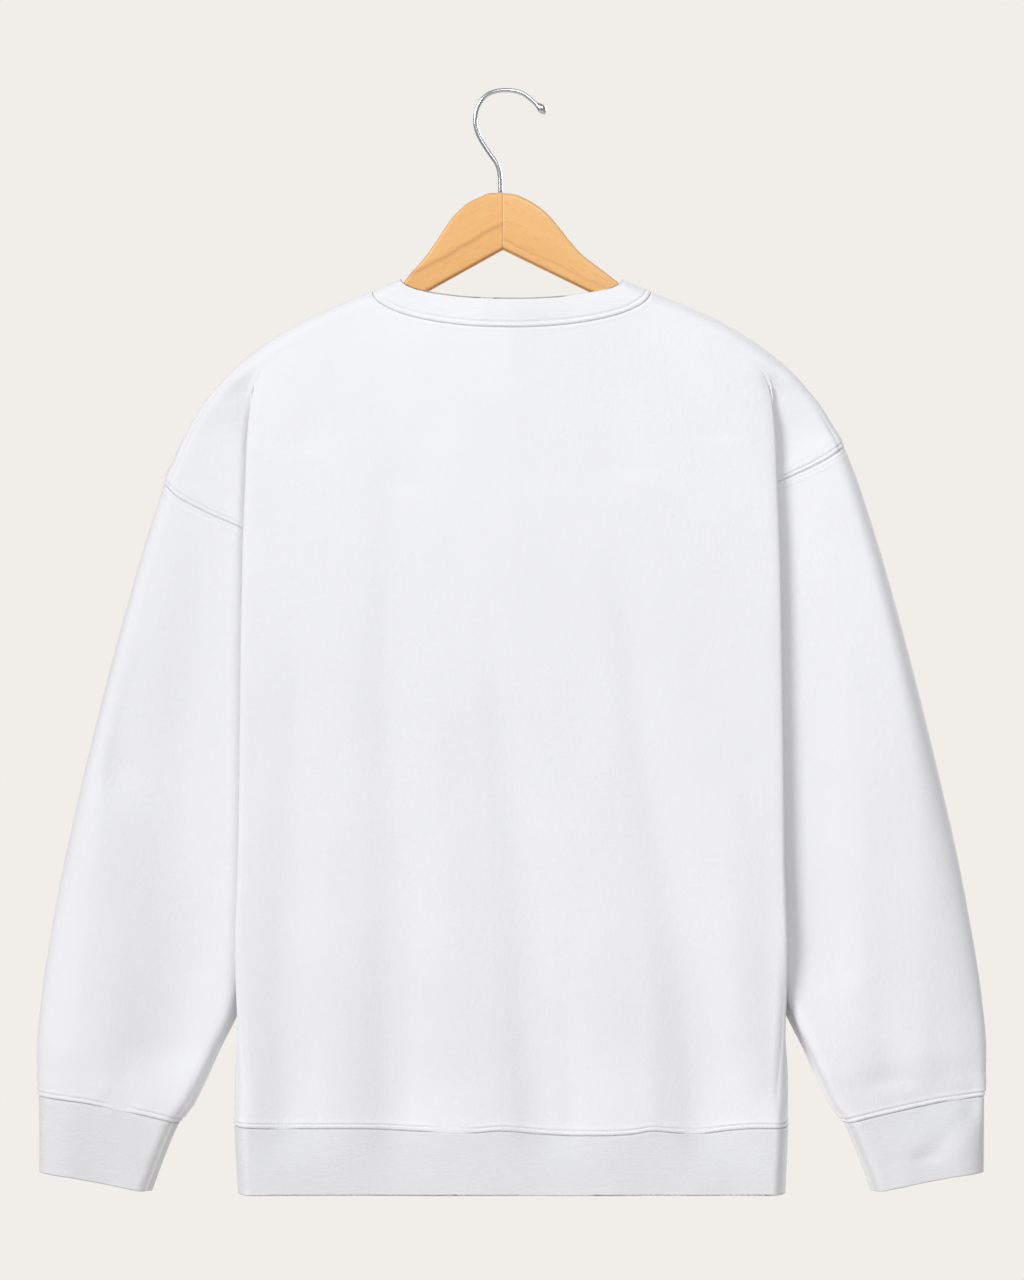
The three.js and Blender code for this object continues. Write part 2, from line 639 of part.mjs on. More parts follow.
function tubeSheet(side, rowHeights, openRows) {
  const sheet = new Sheet();
  const vertex = (column, row) => {
    const key = `${row}:${columnKey({ ...column, side })}`;
    return sheet.vertex(key, () => sleevePoint(side, column, rowHeights[row]));
  };
  const innerParts = [1, 0.5, 0, -0.5, -1];
  const innerVertex = (part, row) => {
    if (Math.abs(part) === 1) return vertex({ face: part, at: VALLEY_AT }, row);
    return sheet.vertex(`${row}:inner:${part}`, () => innerEdgePoint(side, part, rowHeights[row]));
  };
  for (let row = 0; row < rowHeights.length - 1; row += 1) {
    for (let i = 0; i < SLEEVE_COLUMNS.length - 1; i += 1) {
      sheet.face(
        vertex(SLEEVE_COLUMNS[i], row),
        vertex(SLEEVE_COLUMNS[i], row + 1),
        vertex(SLEEVE_COLUMNS[i + 1], row + 1),
        vertex(SLEEVE_COLUMNS[i + 1], row),
        side < 0,
      );
    }
    for (let i = 0; row >= openRows && i < innerParts.length - 1; i += 1) {
      sheet.face(
        innerVertex(innerParts[i], row),
        innerVertex(innerParts[i], row + 1),
        innerVertex(innerParts[i + 1], row + 1),
        innerVertex(innerParts[i + 1], row),
        side < 0,
      );
    }
  }
  return sheet;
}

function sleeveSheet(side) {
  const rows = [];
  for (let row = 0; row <= ARMHOLE_ROWS + SLEEVE_ROWS; row += 1) rows.push(sleeveRow(side, row));
  return tubeSheet(side, rows, ARMHOLE_ROWS);
}

function cuffSheet(side) {
  const rows = [];
  for (let row = 0; row <= RIB_ROWS; row += 1) rows.push(cuffRow(row));
  return tubeSheet(side, rows, 0);
}

// The hem rib: one band round the lower edge of both panels.
function hemSheet() {
  const sheet = new Sheet();
  const ring = [];
  for (const face of [-1, 1]) {
    const columns = lowerColumns(face).map((column) => ({ column, part: 0 }));
    const end = (side, part) => ({ column: { side, face, at: VALLEY_AT }, part });
    const across = [end(-1, 1), end(-1, 0.5), ...columns, end(1, 0.5), end(1, 1)];
    ring.push(...(face < 0 ? across : across.reverse().slice(1, -1)));
  }
  const vertex = (spot, row) => {
    const z = mix(HEM_SEAM_Z, HEM_BOTTOM_Z, row / RIB_ROWS);
    const { column, part } = spot;
    const face = part === 1 ? 0 : column.face;
    return sheet.vertex(`${row}:${column.side}:${face}:${column.at}:${part}`, () => (
      part === 0 ? place(column, z) : foldBottom(column.side, column.face, part, z)
    ));
  };
  for (let row = 0; row < RIB_ROWS; row += 1) {
    ring.forEach((spot, i) => {
      const next = ring[(i + 1) % ring.length];
      sheet.face(vertex(spot, row), vertex(spot, row + 1), vertex(next, row + 1), vertex(next, row));
    });
  }
  return sheet;
}

// The neck rib: from its free edge down to the neck seam.
function neckSheet() {
  const sheet = new Sheet();
  const back = yokeColumns(-1);
  const front = yokeColumns(1).reverse().slice(1, -1);
  const ring = [...back, ...front];
  const vertex = (column, row) => sheet.vertex(`${row}:${columnKey(column)}`, () => {
    const seam = neckSeamPoint(column);
    const up = 1 - row / NECK_ROWS;
    const edge = {
      x: NECK_EDGE.half * Math.sin(seam.angle),
      z: NECK_EDGE.z - neckDrop(NECK_EDGE, column.face) * Math.cos(seam.angle),
      deep: seam.deep * NECK_EDGE.tuck,
    };
    const swell = 1 + NECK_RIB_SWELL * Math.sin(Math.PI * up);
    return toPoint(
      mix(seam.x, edge.x, up),
      mix(seam.deep, edge.deep, up) * swell,
      mix(seam.z, edge.z, up),
      column.side,
      column.face,
    );
  });
  for (let row = 0; row < NECK_ROWS; row += 1) {
    ring.forEach((column, i) => {
      const next = ring[(i + 1) % ring.length];
      sheet.face(vertex(column, row), vertex(column, row + 1), vertex(next, row + 1), vertex(next, row));
    });
  }
  return sheet;
}

const spotKey = (point) => [point.x, point.y, point.z].map((v) => Math.round(v * 50)).join(' ');

// Normals of all sheets, added up where sheets meet so that their walls line up at the seams.
function addNormals(sheets) {
  const sums = new Map();
  for (const sheet of sheets) {
    for (const face of sheet.faces) {
      const [a, b, c, d] = face.map((i) => sheet.points[i]);
      const across = new THREE.Vector3().subVectors(c, a);
      const along = new THREE.Vector3().subVectors(d, b);
      const normal = across.cross(along);
      for (const i of face) {
        const key = spotKey(sheet.points[i]);
        if (!sums.has(key)) sums.set(key, new THREE.Vector3());
        sums.get(key).add(normal);
      }
    }
  }
  for (const sum of sums.values()) sum.normalize();
  return sums;
}

// Turns a sheet into a closed wall: outer skin, inner skin and the rim along its free edges.
function wallGeometry(sheet, normals, wall) {
  const edges = new Map();
  for (const face of sheet.faces) {
    face.forEach((a, i) => {
      const b = face[(i + 1) % face.length];
      if (edges.has(`${b}>${a}`)) edges.delete(`${b}>${a}`);
      else edges.set(`${a}>${b}`, [a, b]);
    });
  }
  const inward = sheet.points.map(() => []);
  for (const [a, b] of edges.values()) {
    const run = new THREE.Vector3().subVectors(sheet.points[b], sheet.points[a]);
    for (const i of [a, b]) {
      const normal = normals.get(spotKey(sheet.points[i]));
      inward[i].push(new THREE.Vector3().crossVectors(normal, run).normalize());
    }
  }
  const outer = sheet.points.map((point, i) => {
    const moved = point.clone();
    if (inward[i].length === 2) {
      const [first, second] = inward[i];
      const reach = SEAM_GAP / 2 / Math.max(1 + first.dot(second), 0.4);
      moved.addScaledVector(first, reach).addScaledVector(second, reach);
    }
    return moved;
  });
  const inner = outer.map((point, i) => (
    point.clone().addScaledVector(normals.get(spotKey(sheet.points[i])), -wall)
  ));
  const places = [...outer, ...inner];
  const count = outer.length;
  const triangles = [];
  const addFace = (a, b, c, d) => {
    if (places[a].distanceToSquared(places[c]) <= places[b].distanceToSquared(places[d])) {
      triangles.push(a, b, c, a, c, d);
    } else triangles.push(a, b, d, b, c, d);
  };
  for (const [a, b, c, d] of sheet.faces) {
    addFace(a, b, c, d);
    if (places[a].distanceToSquared(places[c]) <= places[b].distanceToSquared(places[d])) {
      triangles.push(a + count, c + count, b + count, a + count, d + count, c + count);
    } else triangles.push(a + count, d + count, b + count, b + count, d + count, c + count);
  }
  for (const [a, b] of edges.values()) addFace(b, a, a + count, b + count);
  const geometry = new THREE.BufferGeometry();
  geometry.setAttribute('position', new THREE.Float32BufferAttribute(places.flatMap((p) => p.toArray()), 3));
  geometry.setIndex(triangles);
  geometry.computeVertexNormals();
  return geometry;
}

// A closed body through rings of equal count, closed at both ends by fans.
function ringsGeometry(rings) {
  const count = rings[0].length;
  const places = rings.flat();
  const triangles = [];
  for (let r = 0; r < rings.length - 1; r += 1) {
    for (let i = 0; i < count; i += 1) {
      const j = (i + 1) % count;
      const a = r * count + i;
      const b = r * count + j;
      triangles.push(a, b, b + count, a, b + count, a + count);
    }
  }
  [0, rings.length - 1].forEach((r) => {
    const middle = new THREE.Vector3();
    rings[r].forEach((point) => middle.addScaledVector(point, 1 / count));
    const hub = places.push(middle) - 1;
    for (let i = 0; i < count; i += 1) {
      const a = r * count + i;
      const b = r * count + ((i + 1) % count);
      if (r === 0) triangles.push(hub, b, a);
      else triangles.push(hub, a, b);
    }
  });
  const geometry = new THREE.BufferGeometry();
  geometry.setAttribute('position', new THREE.Float32BufferAttribute(places.flatMap((p) => p.toArray()), 3));
  geometry.setIndex(triangles);
  geometry.computeVertexNormals();
  return geometry;
}

const hangerTopLeft = through(HANGER_TOP, 'reach', 'left');
const hangerTopRight = through(HANGER_TOP, 'reach', 'right');

// Top edge of the hanger: bare near its middle, then just under the cloth.
function hangerTop(side, reach) {
  const half = Math.abs(HANGER_MIDDLE_X + side * reach - GARMENT_MIDDLE_X);
  if (half < HANGER_BARE_HALF) return side < 0 ? hangerTopLeft(reach) : hangerTopRight(reach);
  const slope = (ridgeHeight(half - 2) - ridgeHeight(half + 2)) / 4;
  const onPanel = ease((half - HANGER_UNDER_PANEL.from) / HANGER_UNDER_PANEL.within);
  const under = mix(HANGER_UNDER_RIB, HANGER_UNDER_CLOTH, onPanel);
  return ridgeHeight(half) - under * Math.sqrt(1 + slope * slope);
}

// A rounded upright section of the hanger between two heights.
function hangerRing(x, top, bottom, halfThick, round) {
  const ring = [];
  const corners = [
    { y: halfThick - round, z: top - round, turn: 0 },
    { y: -(halfThick - round), z: top - round, turn: 1 },
    { y: -(halfThick - round), z: bottom + round, turn: 2 },
    { y: halfThick - round, z: bottom + round, turn: 3 },
  ];
  for (const corner of corners) {
    for (let i = 0; i <= HANGER_CORNER_STEPS; i += 1) {
      const angle = (Math.PI / 2) * (corner.turn + i / HANGER_CORNER_STEPS);
      ring.push(new THREE.Vector3(x, corner.y + round * Math.cos(angle), corner.z + round * Math.sin(angle)));
    }
  }
  return ring;
}

function hangerHalf(side) {
  const slope = side < 0 ? HANGER_BOTTOM.leftSlope : HANGER_BOTTOM.rightSlope;
  const endReach = HANGER_END_HALF + side * (GARMENT_MIDDLE_X - HANGER_MIDDLE_X);
  const rings = [];
  const squareReach = endReach - HANGER_END_ROUND;
  const reaches = [];
  for (let i = 0; i <= HANGER_STATIONS; i += 1) {
    reaches.push(mix(HANGER_JOINT / 2, squareReach, i / HANGER_STATIONS));
  }
  for (const part of [0.5, 0.8, 0.95]) reaches.push(squareReach + HANGER_END_ROUND * part);
  for (const reach of reaches) {
    const past = Math.max(reach - squareReach, 0) / HANGER_END_ROUND;
    const shrink = Math.sqrt(1 - past * past);
    const top = hangerTop(side, reach);
    const bottom = HANGER_BOTTOM.z - slope * reach;
    const middle = (top + bottom) / 2;
    const halfHigh = ((top - bottom) / 2 - HANGER_END_ROUND) + HANGER_END_ROUND * shrink;
    const halfThick = HANGER_HALF_THICK * mix(0.5, 1, shrink);
    const round = Math.min(HANGER_EDGE_ROUND, halfThick * 0.8);
    const x = HANGER_MIDDLE_X + side * reach;
    const ring = hangerRing(x, middle + halfHigh, middle - halfHigh, halfThick, round);
    rings.push(side > 0 ? ring : ring.reverse());
  }
  return ringsGeometry(rings);
}

function hookGeometry() {
  const middles = HOOK_PATH.map((row) => new THREE.Vector3(row.x, 0, row.z));
  const path = new THREE.CatmullRomCurve3(middles, false, 'centripetal');
  const rings = [];
  for (let i = 0; i <= WIRE_STEPS; i += 1) {
    const t = i / WIRE_STEPS;
    const middle = path.getPoint(t);
    const tangent = path.getTangent(t);
    const across = new THREE.Vector3(0, 1, 0);
    const outward = new THREE.Vector3().crossVectors(across, tangent);
    const station = t * (HOOK_PATH.length - 1);
    const row = Math.min(Math.floor(station), HOOK_PATH.length - 2);
    const radius = mix(HOOK_PATH[row].r, HOOK_PATH[row + 1].r, station - row);
    const ring = [];
    for (let k = 0; k < WIRE_SIDES; k += 1) {
      const angle = (2 * Math.PI * k) / WIRE_SIDES;
      const spoke = outward.clone().multiplyScalar(Math.cos(angle)).addScaledVector(across, Math.sin(angle));
      ring.push(middle.clone().addScaledVector(spoke, radius));
    }
    rings.push(ring);
  }
  return ringsGeometry(rings);
}

const group = new THREE.Group();

function addNode(name, geometry, look) {
  const mesh = new THREE.Mesh(geometry, new THREE.MeshStandardMaterial(look));
  mesh.name = name;
  group.add(mesh);
}

const CLOTH_PIECES = [
  { name: 'back_panel', sheet: panelSheet(-1), wall: CLOTH_WALL, look: CLOTH },
  { name: 'front_panel', sheet: panelSheet(1), wall: CLOTH_WALL, look: CLOTH },
  { name: 'sleeve_left', sheet: sleeveSheet(-1), wall: CLOTH_WALL, look: CLOTH },
  { name: 'sleeve_right', sheet: sleeveSheet(1), wall: CLOTH_WALL, look: CLOTH },
  { name: 'cuff_left', sheet: cuffSheet(-1), wall: RIB_WALL, look: RIB },
  { name: 'cuff_right', sheet: cuffSheet(1), wall: RIB_WALL, look: RIB },
  { name: 'hem_rib', sheet: hemSheet(), wall: RIB_WALL, look: RIB },
  { name: 'neck_rib', sheet: neckSheet(), wall: RIB_WALL, look: RIB },
];
const normals = addNormals(CLOTH_PIECES.map((piece) => piece.sheet));
for (const piece of CLOTH_PIECES) {
  addNode(piece.name, wallGeometry(piece.sheet, normals, piece.wall), piece.look);
}
addNode('hanger_left', hangerHalf(-1), WOOD);
addNode('hanger_right', hangerHalf(1), WOOD);
addNode('hanger_hook', hookGeometry(), CHROME);

export default group;
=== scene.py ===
import math

import bpy
import numpy as np
from bpy.props import FloatProperty, FloatVectorProperty, PointerProperty
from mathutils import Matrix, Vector
from mathutils.kdtree import KDTree


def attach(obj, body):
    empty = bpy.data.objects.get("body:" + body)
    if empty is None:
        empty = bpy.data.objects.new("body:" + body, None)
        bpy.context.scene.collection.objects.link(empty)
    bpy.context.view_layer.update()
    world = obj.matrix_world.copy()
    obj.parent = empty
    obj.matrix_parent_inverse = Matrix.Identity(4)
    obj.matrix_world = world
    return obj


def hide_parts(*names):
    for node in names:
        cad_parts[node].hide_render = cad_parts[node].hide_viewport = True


bl_info = {
    "name": "Crewneck sweatshirt on a hanger",
    "version": (1, 0, 0),
    "blender": (4, 5, 0),
    "location": "View3D > Sidebar > Sweatshirt",
    "description": "Builds a fleece crewneck sweatshirt on a wooden hanger over its frame",
    "category": "Object",
}

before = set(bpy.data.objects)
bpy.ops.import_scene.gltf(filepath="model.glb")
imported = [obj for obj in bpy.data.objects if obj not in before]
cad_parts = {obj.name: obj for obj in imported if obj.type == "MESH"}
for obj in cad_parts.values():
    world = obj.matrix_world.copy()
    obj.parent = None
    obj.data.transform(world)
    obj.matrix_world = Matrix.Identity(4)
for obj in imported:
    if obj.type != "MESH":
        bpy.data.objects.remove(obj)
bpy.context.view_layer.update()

# Sizes below are millimetres; meshes are made in metres. The back of the garment faces -Y.
MM = 0.001
BODY = "root"


def table(names, *rows):
    """A short table with named columns."""
    values = np.array(rows, float)
    return {name: values[:, i] for i, name in enumerate(names.split())}


GARMENT_MIDDLE_X = 3.8
SEAM_GAP = 0.3

# Outer outline of the shoulders and sleeves: height and half width.
OUTLINE = table(
    "z half",
    (-157, 92), (-167, 117), (-187.7, 166), (-207.9, 201.6), (-228.1, 228.5), (-248.2, 247.8),
    (-268.4, 263.5), (-308.7, 283.9), (-363.3, 302.8), (-426.3, 321.3), (-510.3, 343.6),
    (-594.3, 364.1), (-678.3, 381.8), (-762.3, 395.2), (-804.3, 398.6), (-846.3, 397), (-930, 396.6),
)

# Side fold of the body: where the panel turns in, how far in the cloth goes, thickness of the
# turned edge, and 0 flat to 1 fully turned.
SIDE_FOLD = table(
    "z edge valley lip folded",
    (-157, 68, 72, 6, 0), (-167, 84, 88, 6, 0), (-187.7, 128, 132, 6, 0), (-207.9, 165, 169, 6, 0),
    (-222, 191, 195, 6, 0), (-236, 211, 213, 6, 0.05), (-256, 218, 216, 7, 0.6), (-290, 221, 208, 8, 1),
    (-330, 222.5, 200, 9, 1), (-383, 224.5, 184, 10, 1), (-460, 226, 150, 10, 1), (-552, 227, 165, 10, 1),
    (-636, 228, 186, 10, 1), (-720, 230.5, 208, 10, 1), (-768, 232, 220, 10, 1), (-804, 233, 226, 9, 1),
    (-868, 232.4, 231, 9, 1), (-930, 229.6, 229, 9, 1),
)

# Inner edge of the sleeve below the underarm and the width of its rounding.
SLEEVE_INNER = table(
    "z half round",
    (-460, 150.6, 2), (-482, 156, 12), (-552, 171, 20), (-636, 192, 15), (-720, 216, 9), (-768, 231.5, 6),
    (-804, 249, 5.5), (-846, 268.6, 6), (-866, 282.7, 7), (-895, 295.5, 8), (-930, 308.5, 8),
)

# Half depth of the sleeve and width of its rounded outer edge.
SLEEVE_DEPTH = table(
    "z deep rounding",
    (-157, 60, 11), (-236, 60, 11), (-290, 40, 12), (-330, 30, 13), (-400, 27, 14), (-500, 26, 16),
    (-600, 26.5, 24), (-700, 27, 40), (-820, 26, 44), (-866, 19.5, 36), (-895, 19, 30), (-930, 18.5, 26),
)

# Armhole seams: height on the outer edge and at the bottom of the side fold.
ARMHOLE = {-1: {"outer": -329, "inner": -383}, 1: {"outer": -298, "inner": -338}}
UNDERARM_Z = -460
SLEEVE_SEAM_DROP = 22.6
CUFF_SEAM_Z = -843
CUFF_BOTTOM = {"outer": -906.8, "inner": -922.7}
HEM_SEAM_Z = -868.1
HEM_BOTTOM_Z = -923.6

# Neck seam and the free edge of the neck rib: half ellipses through the neck points.
NECK = {"half": 117, "z": -167, "back": 31.7, "front": 103}
NECK_EDGE = {"half": 92.6, "z": -156.5, "back": 17, "front": 89.5, "tuck": 0.86}

SHOULDER_ROUND = 11
BODY_SWELL = 32
BODY_SWELL_DROP = 140
MIDDLE_SWELL = 0.1
FOLD_PIT = {"half": 219, "z": -244, "deep": 2.2, "wide": 12, "high": 13}
NECK_SLOPE = 0.42
HEM_HALF_DEPTH = 31
HEM_ROUND = 13
HEM_EASE = (-700, HEM_SEAM_Z)
SIDE_STEPS = 9
EDGE_REACH = 10
VALLEY_REACH = 4
FLAT_START = 4
FLAT_SPREAD = 10
CLOSING = {"most": 0.78, "within": 90, "bottom": 60, "inset": 4}
NECK_RIB_SWELL = 0.06
FOLD_CLEARANCE = 4

# How a hanging fold grows from its top end to its bottom end, in parts of its own length, width
# and depth. It fades in over its top and out past its bottom end.
FOLD_START = {"shift": 0.35, "over": 0.45}
FOLD_FINISH = {"at": 1.1, "over": 0.14}
FOLD_WIDTH = {"top": 0.6, "more": 0.55}
FOLD_DEPTH = {"top": 0.26, "more": 0.84}
FOLD_LEAD = 0.2
FOLD_WANDER = {"part": 0.12, "wave": 0.021}

# Hanging folds: top and bottom ends, half width, depth, and how much softer the right flank is.
# A negative depth is a ridge.
BACK_FOLDS = table(
    "x0 z0 x1 z1 wide deep lean",
    (-182, -470, -190, -868, 18, 6.2, 1.7), (-104, -300, -98, -868, 20, 6.6, 1.7),
    (-16, -455, 26, -868, 19, 6.2, 1.8), (86, -385, 162, -868, 19, 6.4, 1.7),
    (-66, -450, -50, -800, 24, -1.4, 1.0), (70, -560, 94, -850, 24, -1.2, 1.0),
    (214, -630, 220, -840, 14, 3.2, 1.0), (-150, -610, -158, -850, 13, -1.0, 1.3),
    (-84, -640, -88, -858, 9, 1.0, 1.0), (112, -690, 118, -860, 11, -1.3, 0.8),
    (46, -700, 52, -862, 8, 1.0, 1.3), (182, -560, 186, -790, 13, -1.4, 1.0),
    (-140, -215, -172, -300, 17, 1.3, 1.0), (128, -210, 168, -290, 18, 1.3, 1.0),
    (-60, -225, -86, -330, 20, 0.9, 1.0), (70, -222, 92, -320, 20, 0.9, 1.0),
    (-176, -866, -160, -930, 24, 1.5, 1.0), (-96, -872, -118, -932, 28, 1.7, 1.2),
    (34, -868, 12, -930, 24, 1.5, 1.0), (96, -872, 126, -932, 26, 1.9, 0.8),
    (196, -866, 178, -930, 18, 1.5, 1.0),
)
FRONT_FOLDS = table(
    "x0 z0 x1 z1 wide deep lean",
    (-176, -420, -192, -868, 20, 4.6, 1.0), (-88, -380, -104, -868, 22, 4.4, 1.0),
    (6, -500, -8, -868, 22, 4.2, 1.0), (96, -360, 118, -868, 22, 4.8, 1.0),
    (182, -450, 198, -868, 18, 4.4, 1.0), (50, -540, 44, -850, 24, -2.4, 1.0),
    (-40, -610, -52, -856, 12, -1.4, 0.8), (146, -640, 152, -860, 10, -1.2, 1.2),
    (-142, -600, -150, -858, 11, -1.3, 1.0), (-120, -290, -150, -380, 18, 1.2, 1.0),
    (112, -285, 140, -370, 17, 1.2, 1.0), (70, -700, 76, -864, 9, 1.1, 1.0),
    (-140, -868, -156, -930, 26, 1.6, 1.0), (-34, -870, -22, -932, 28, 1.7, 1.1),
    (74, -868, 60, -930, 25, 1.6, 1.0), (160, -870, 176, -932, 22, 1.5, 0.9),
)
SLEEVE_FOLDS = table(
    "x0 z0 x1 z1 wide deep lean",
    (-286, -220, -332, -580, 13, 5.4, 1.6), (-272, -405, -284, -812, 42, 14.5, 0.9),
    (-224, -500, -211, -258, 12, 5.4, 1.0), (362, -480, 384, -850, 52, 12, 1.0),
    (284, -460, 292, -760, 16, -1.6, 1.0), (310, -740, 316, -830, 15, 3.6, 1.2),
    (226, -120, 246, -740, 26, 5.0, 1.2), (-240, -640, -262, -740, 10, 1.0, 0.8),
    (383, -740, 387, -862, 6, 2.4, 1.0), (252, -610, 276, -740, 10, 1.2, 1.2),
    (-330, -690, -338, -838, 10, -1.2, 1.0), (338, -640, 344, -826, 11, -1.2, 1.0),
    (-352, -866, -340, -925, 15, 2.0, 1.0), (390, -846, 346, -895, 11, 2.8, 1.0),
    (338, -866, 330, -925, 10, -1.2, 1.0), (-318, -872, -322, -930, 12, -1.2, 1.0),
    (376, -858, 378, -928, 40, 5.0, 1.0),
)
# Level creases where the dropped shoulders bend: left end, right end, half height, depth.
SHOULDER_CREASES = table(
    "x0 z0 x1 z1 wide deep",
    (-232, -286, -196, -296, 5, 0.7), (-226, -308, -192, -322, 6, 0.6), (204, -262, 232, -268, 5, 0.7),
    (196, -290, 228, -300, 6, 0.6),
)

# Wooden hanger. reach: distance from its middle line; heights of the top edge on each side.
HANGER_MIDDLE_X = -3.4
HANGER_HALF_THICK = 6
HANGER_TOP = table(
    "reach left right",
    (0, -84.4, -84.4), (10, -84.4, -85.6), (20, -88.2, -89.8), (30, -93.2, -95.8), (40, -102.2, -104.6),
    (48, -112.7, -114.2), (56, -125, -124.4), (66, -138.9, -135.7), (76, -150.2, -143.7),
    (84, -159.8, -149.6), (98, -170, -160.6),
)
HANGER_BARE_HALF = 91
HANGER_UNDER_PANEL = (112, 14)
HANGER_BOTTOM_Z = -132.3
HANGER_SLOPE = {-1: 0.558, 1: 0.488}
HANGER_END_HALF = 210
HANGER_END_ROUND = 9
HANGER_UNDER_RIB = 3.9
HANGER_UNDER_CLOTH = 3.3
HANGER_EDGE_ROUND = 4
HANGER_JOINT = 0.06
JOINT_CHAMFER = 0.3

# Hook wire: middle line from the wood up and round to the tip, and its radius.
HOOK_PATH = table(
    "x z r",
    (-5.6, -84.0, 1.9), (-5.8, -76, 1.9), (-6.3, -68, 1.9), (-8.6, -60, 1.9), (-13.4, -53, 1.9),
    (-18.8, -45, 1.9), (-23.4, -37, 1.9), (-26.2, -29, 1.9), (-26.7, -22, 1.9), (-25.2, -13.6, 1.9),
    (-21.2, -6.2, 1.9), (-15, -1, 1.9), (-7.6, 1.4, 1.9), (0, 1.9, 1.9), (7.6, 1.0, 1.9),
    (14.4, -1.6, 1.9), (20.2, -6, 1.9), (24.6, -9.8, 2.0), (27.2, -11.9, 3.2), (28.9, -13.6, 3.7),
    (30.4, -15.8, 3.1), (31.4, -17.6, 1.5),
)


def mix(a, b, t):
    return a + (b - a) * t


def ease(t):
    s = np.minimum(np.maximum(t, 0), 1)
    return s * s * (3 - 2 * s)


def bell(t):
    return np.exp(-np.square(t))


def rounded_edge(t):
    return np.sqrt(1 - (1 - np.minimum(np.maximum(t, 0), 1)) ** 2)


def through(rows, at, value):
    """Smooth curve through a table's rows, without overshoot between them."""
    xs, ys = rows[at], rows[value]
    if xs[1] < xs[0]:
        xs, ys = xs[::-1], ys[::-1]
    steps = np.diff(ys) / np.diff(xs)
    slopes = np.zeros(len(xs))
    slopes[0], slopes[-1] = steps[0], steps[-1]
    before, after = steps[:-1], steps[1:]
    same_way = before * after > 0
    total = np.where(same_way, before + after, 1)
    slopes[1:-1] = np.where(same_way, 2 * before * after / total, 0)

    def curve(x):
        x = np.asarray(x, float)
        i = np.clip(np.searchsorted(xs, x) - 1, 0, len(xs) - 2)
        width = xs[i + 1] - xs[i]
        t = np.minimum(np.maximum((x - xs[i]) / width, 0), 1)
        t2, t3 = t * t, t * t * t
        return (
            (2 * t3 - 3 * t2 + 1) * ys[i]
            + (t3 - 2 * t2 + t) * width * slopes[i]
            + (3 * t2 - 2 * t3) * ys[i + 1]
            + (t3 - t2) * width * slopes[i + 1]
        )

    return curve


arm_half = through(OUTLINE, "z", "half")
ridge_height = through(OUTLINE, "half", "z")
edge_half = through(SIDE_FOLD, "z", "edge")
valley_half = through(SIDE_FOLD, "z", "valley")
lip_depth = through(SIDE_FOLD, "z", "lip")
folded_amount = through(SIDE_FOLD, "z", "folded")
inner_half = through(SLEEVE_INNER, "z", "half")
inner_round = through(SLEEVE_INNER, "z", "round")
sleeve_deep = through(SLEEVE_DEPTH, "z", "deep")
sleeve_rounding = through(SLEEVE_DEPTH, "z", "rounding")


SLOPE_STEP = 2


def fall_of(curve, at):
    """How steeply a curve falls at a place."""
    return (curve(at - SLOPE_STEP) - curve(at + SLOPE_STEP)) / (2 * SLOPE_STEP)


def outline_tilt(z):
    """How much a level step shrinks when measured square to the outline."""
    run = fall_of(arm_half, z)
    return 1 / np.sqrt(1 + run * run)


def spread(rows, dimensions):
    """The columns of a table, with their rows along a new first axis of the places."""
    return {name: column.reshape(-1, *[1] * dimensions) for name, column in rows.items()}


def folds_at(folds, x, z):
    """How deep the folds of a table lie at each place."""
    x, z = np.broadcast_arrays(x, z)
    rows = spread(folds, x.ndim)
    t = (rows["z0"] - z) / (rows["z0"] - rows["z1"])
    low = np.minimum(np.maximum(t, 0), 1)
    path = rows["x0"] + (rows["x1"] - rows["x0"]) * np.minimum(np.maximum(t, -FOLD_LEAD), 1)
    wander = FOLD_WANDER["part"] * rows["wide"] * np.sin(FOLD_WANDER["wave"] * z + rows["x0"])
    away = (x - path - wander) / (rows["wide"] * (FOLD_WIDTH["top"] + FOLD_WIDTH["more"] * low))
    away = np.where(away > 0, away / rows["lean"], away)
    begun = ease(t / FOLD_START["over"] + FOLD_START["shift"])
    left = ease((FOLD_FINISH["at"] - t) / FOLD_FINISH["over"])
    strength = begun * (FOLD_DEPTH["top"] + FOLD_DEPTH["more"] * low ** 3) * left
    return (rows["deep"] * strength * bell(away)).sum(axis=0)


CREASE_FADE = 0.3


def creases_at(x, z):
    """How deep the level creases of the dropped shoulders lie at each place."""
    x, z = np.broadcast_arrays(x, z)
    rows = spread(SHOULDER_CREASES, x.ndim)
    t = (x - rows["x0"]) / (rows["x1"] - rows["x0"])
    away = (z - rows["z0"] - (rows["z1"] - rows["z0"]) * t) / rows["wide"]
    faded = ease(t / CREASE_FADE) * ease((1 - t) / CREASE_FADE)
    return (rows["deep"] * faded * bell(away)).sum(axis=0)


def ridge_above(x):
    """Height of the shoulder line above a place, carried on in a straight line over the neck."""
    over_neck = NECK["z"] + (NECK["half"] - x) * NECK_SLOPE
    return np.where(x < NECK["half"], over_neck, ridge_height(np.minimum(x, edge_half(UNDERARM_Z))))


def hem_ease(z):
    """0 where the sides are folded, 1 at the hem, where they are round."""
    return ease((z - HEM_EASE[0]) / (HEM_EASE[1] - HEM_EASE[0]))


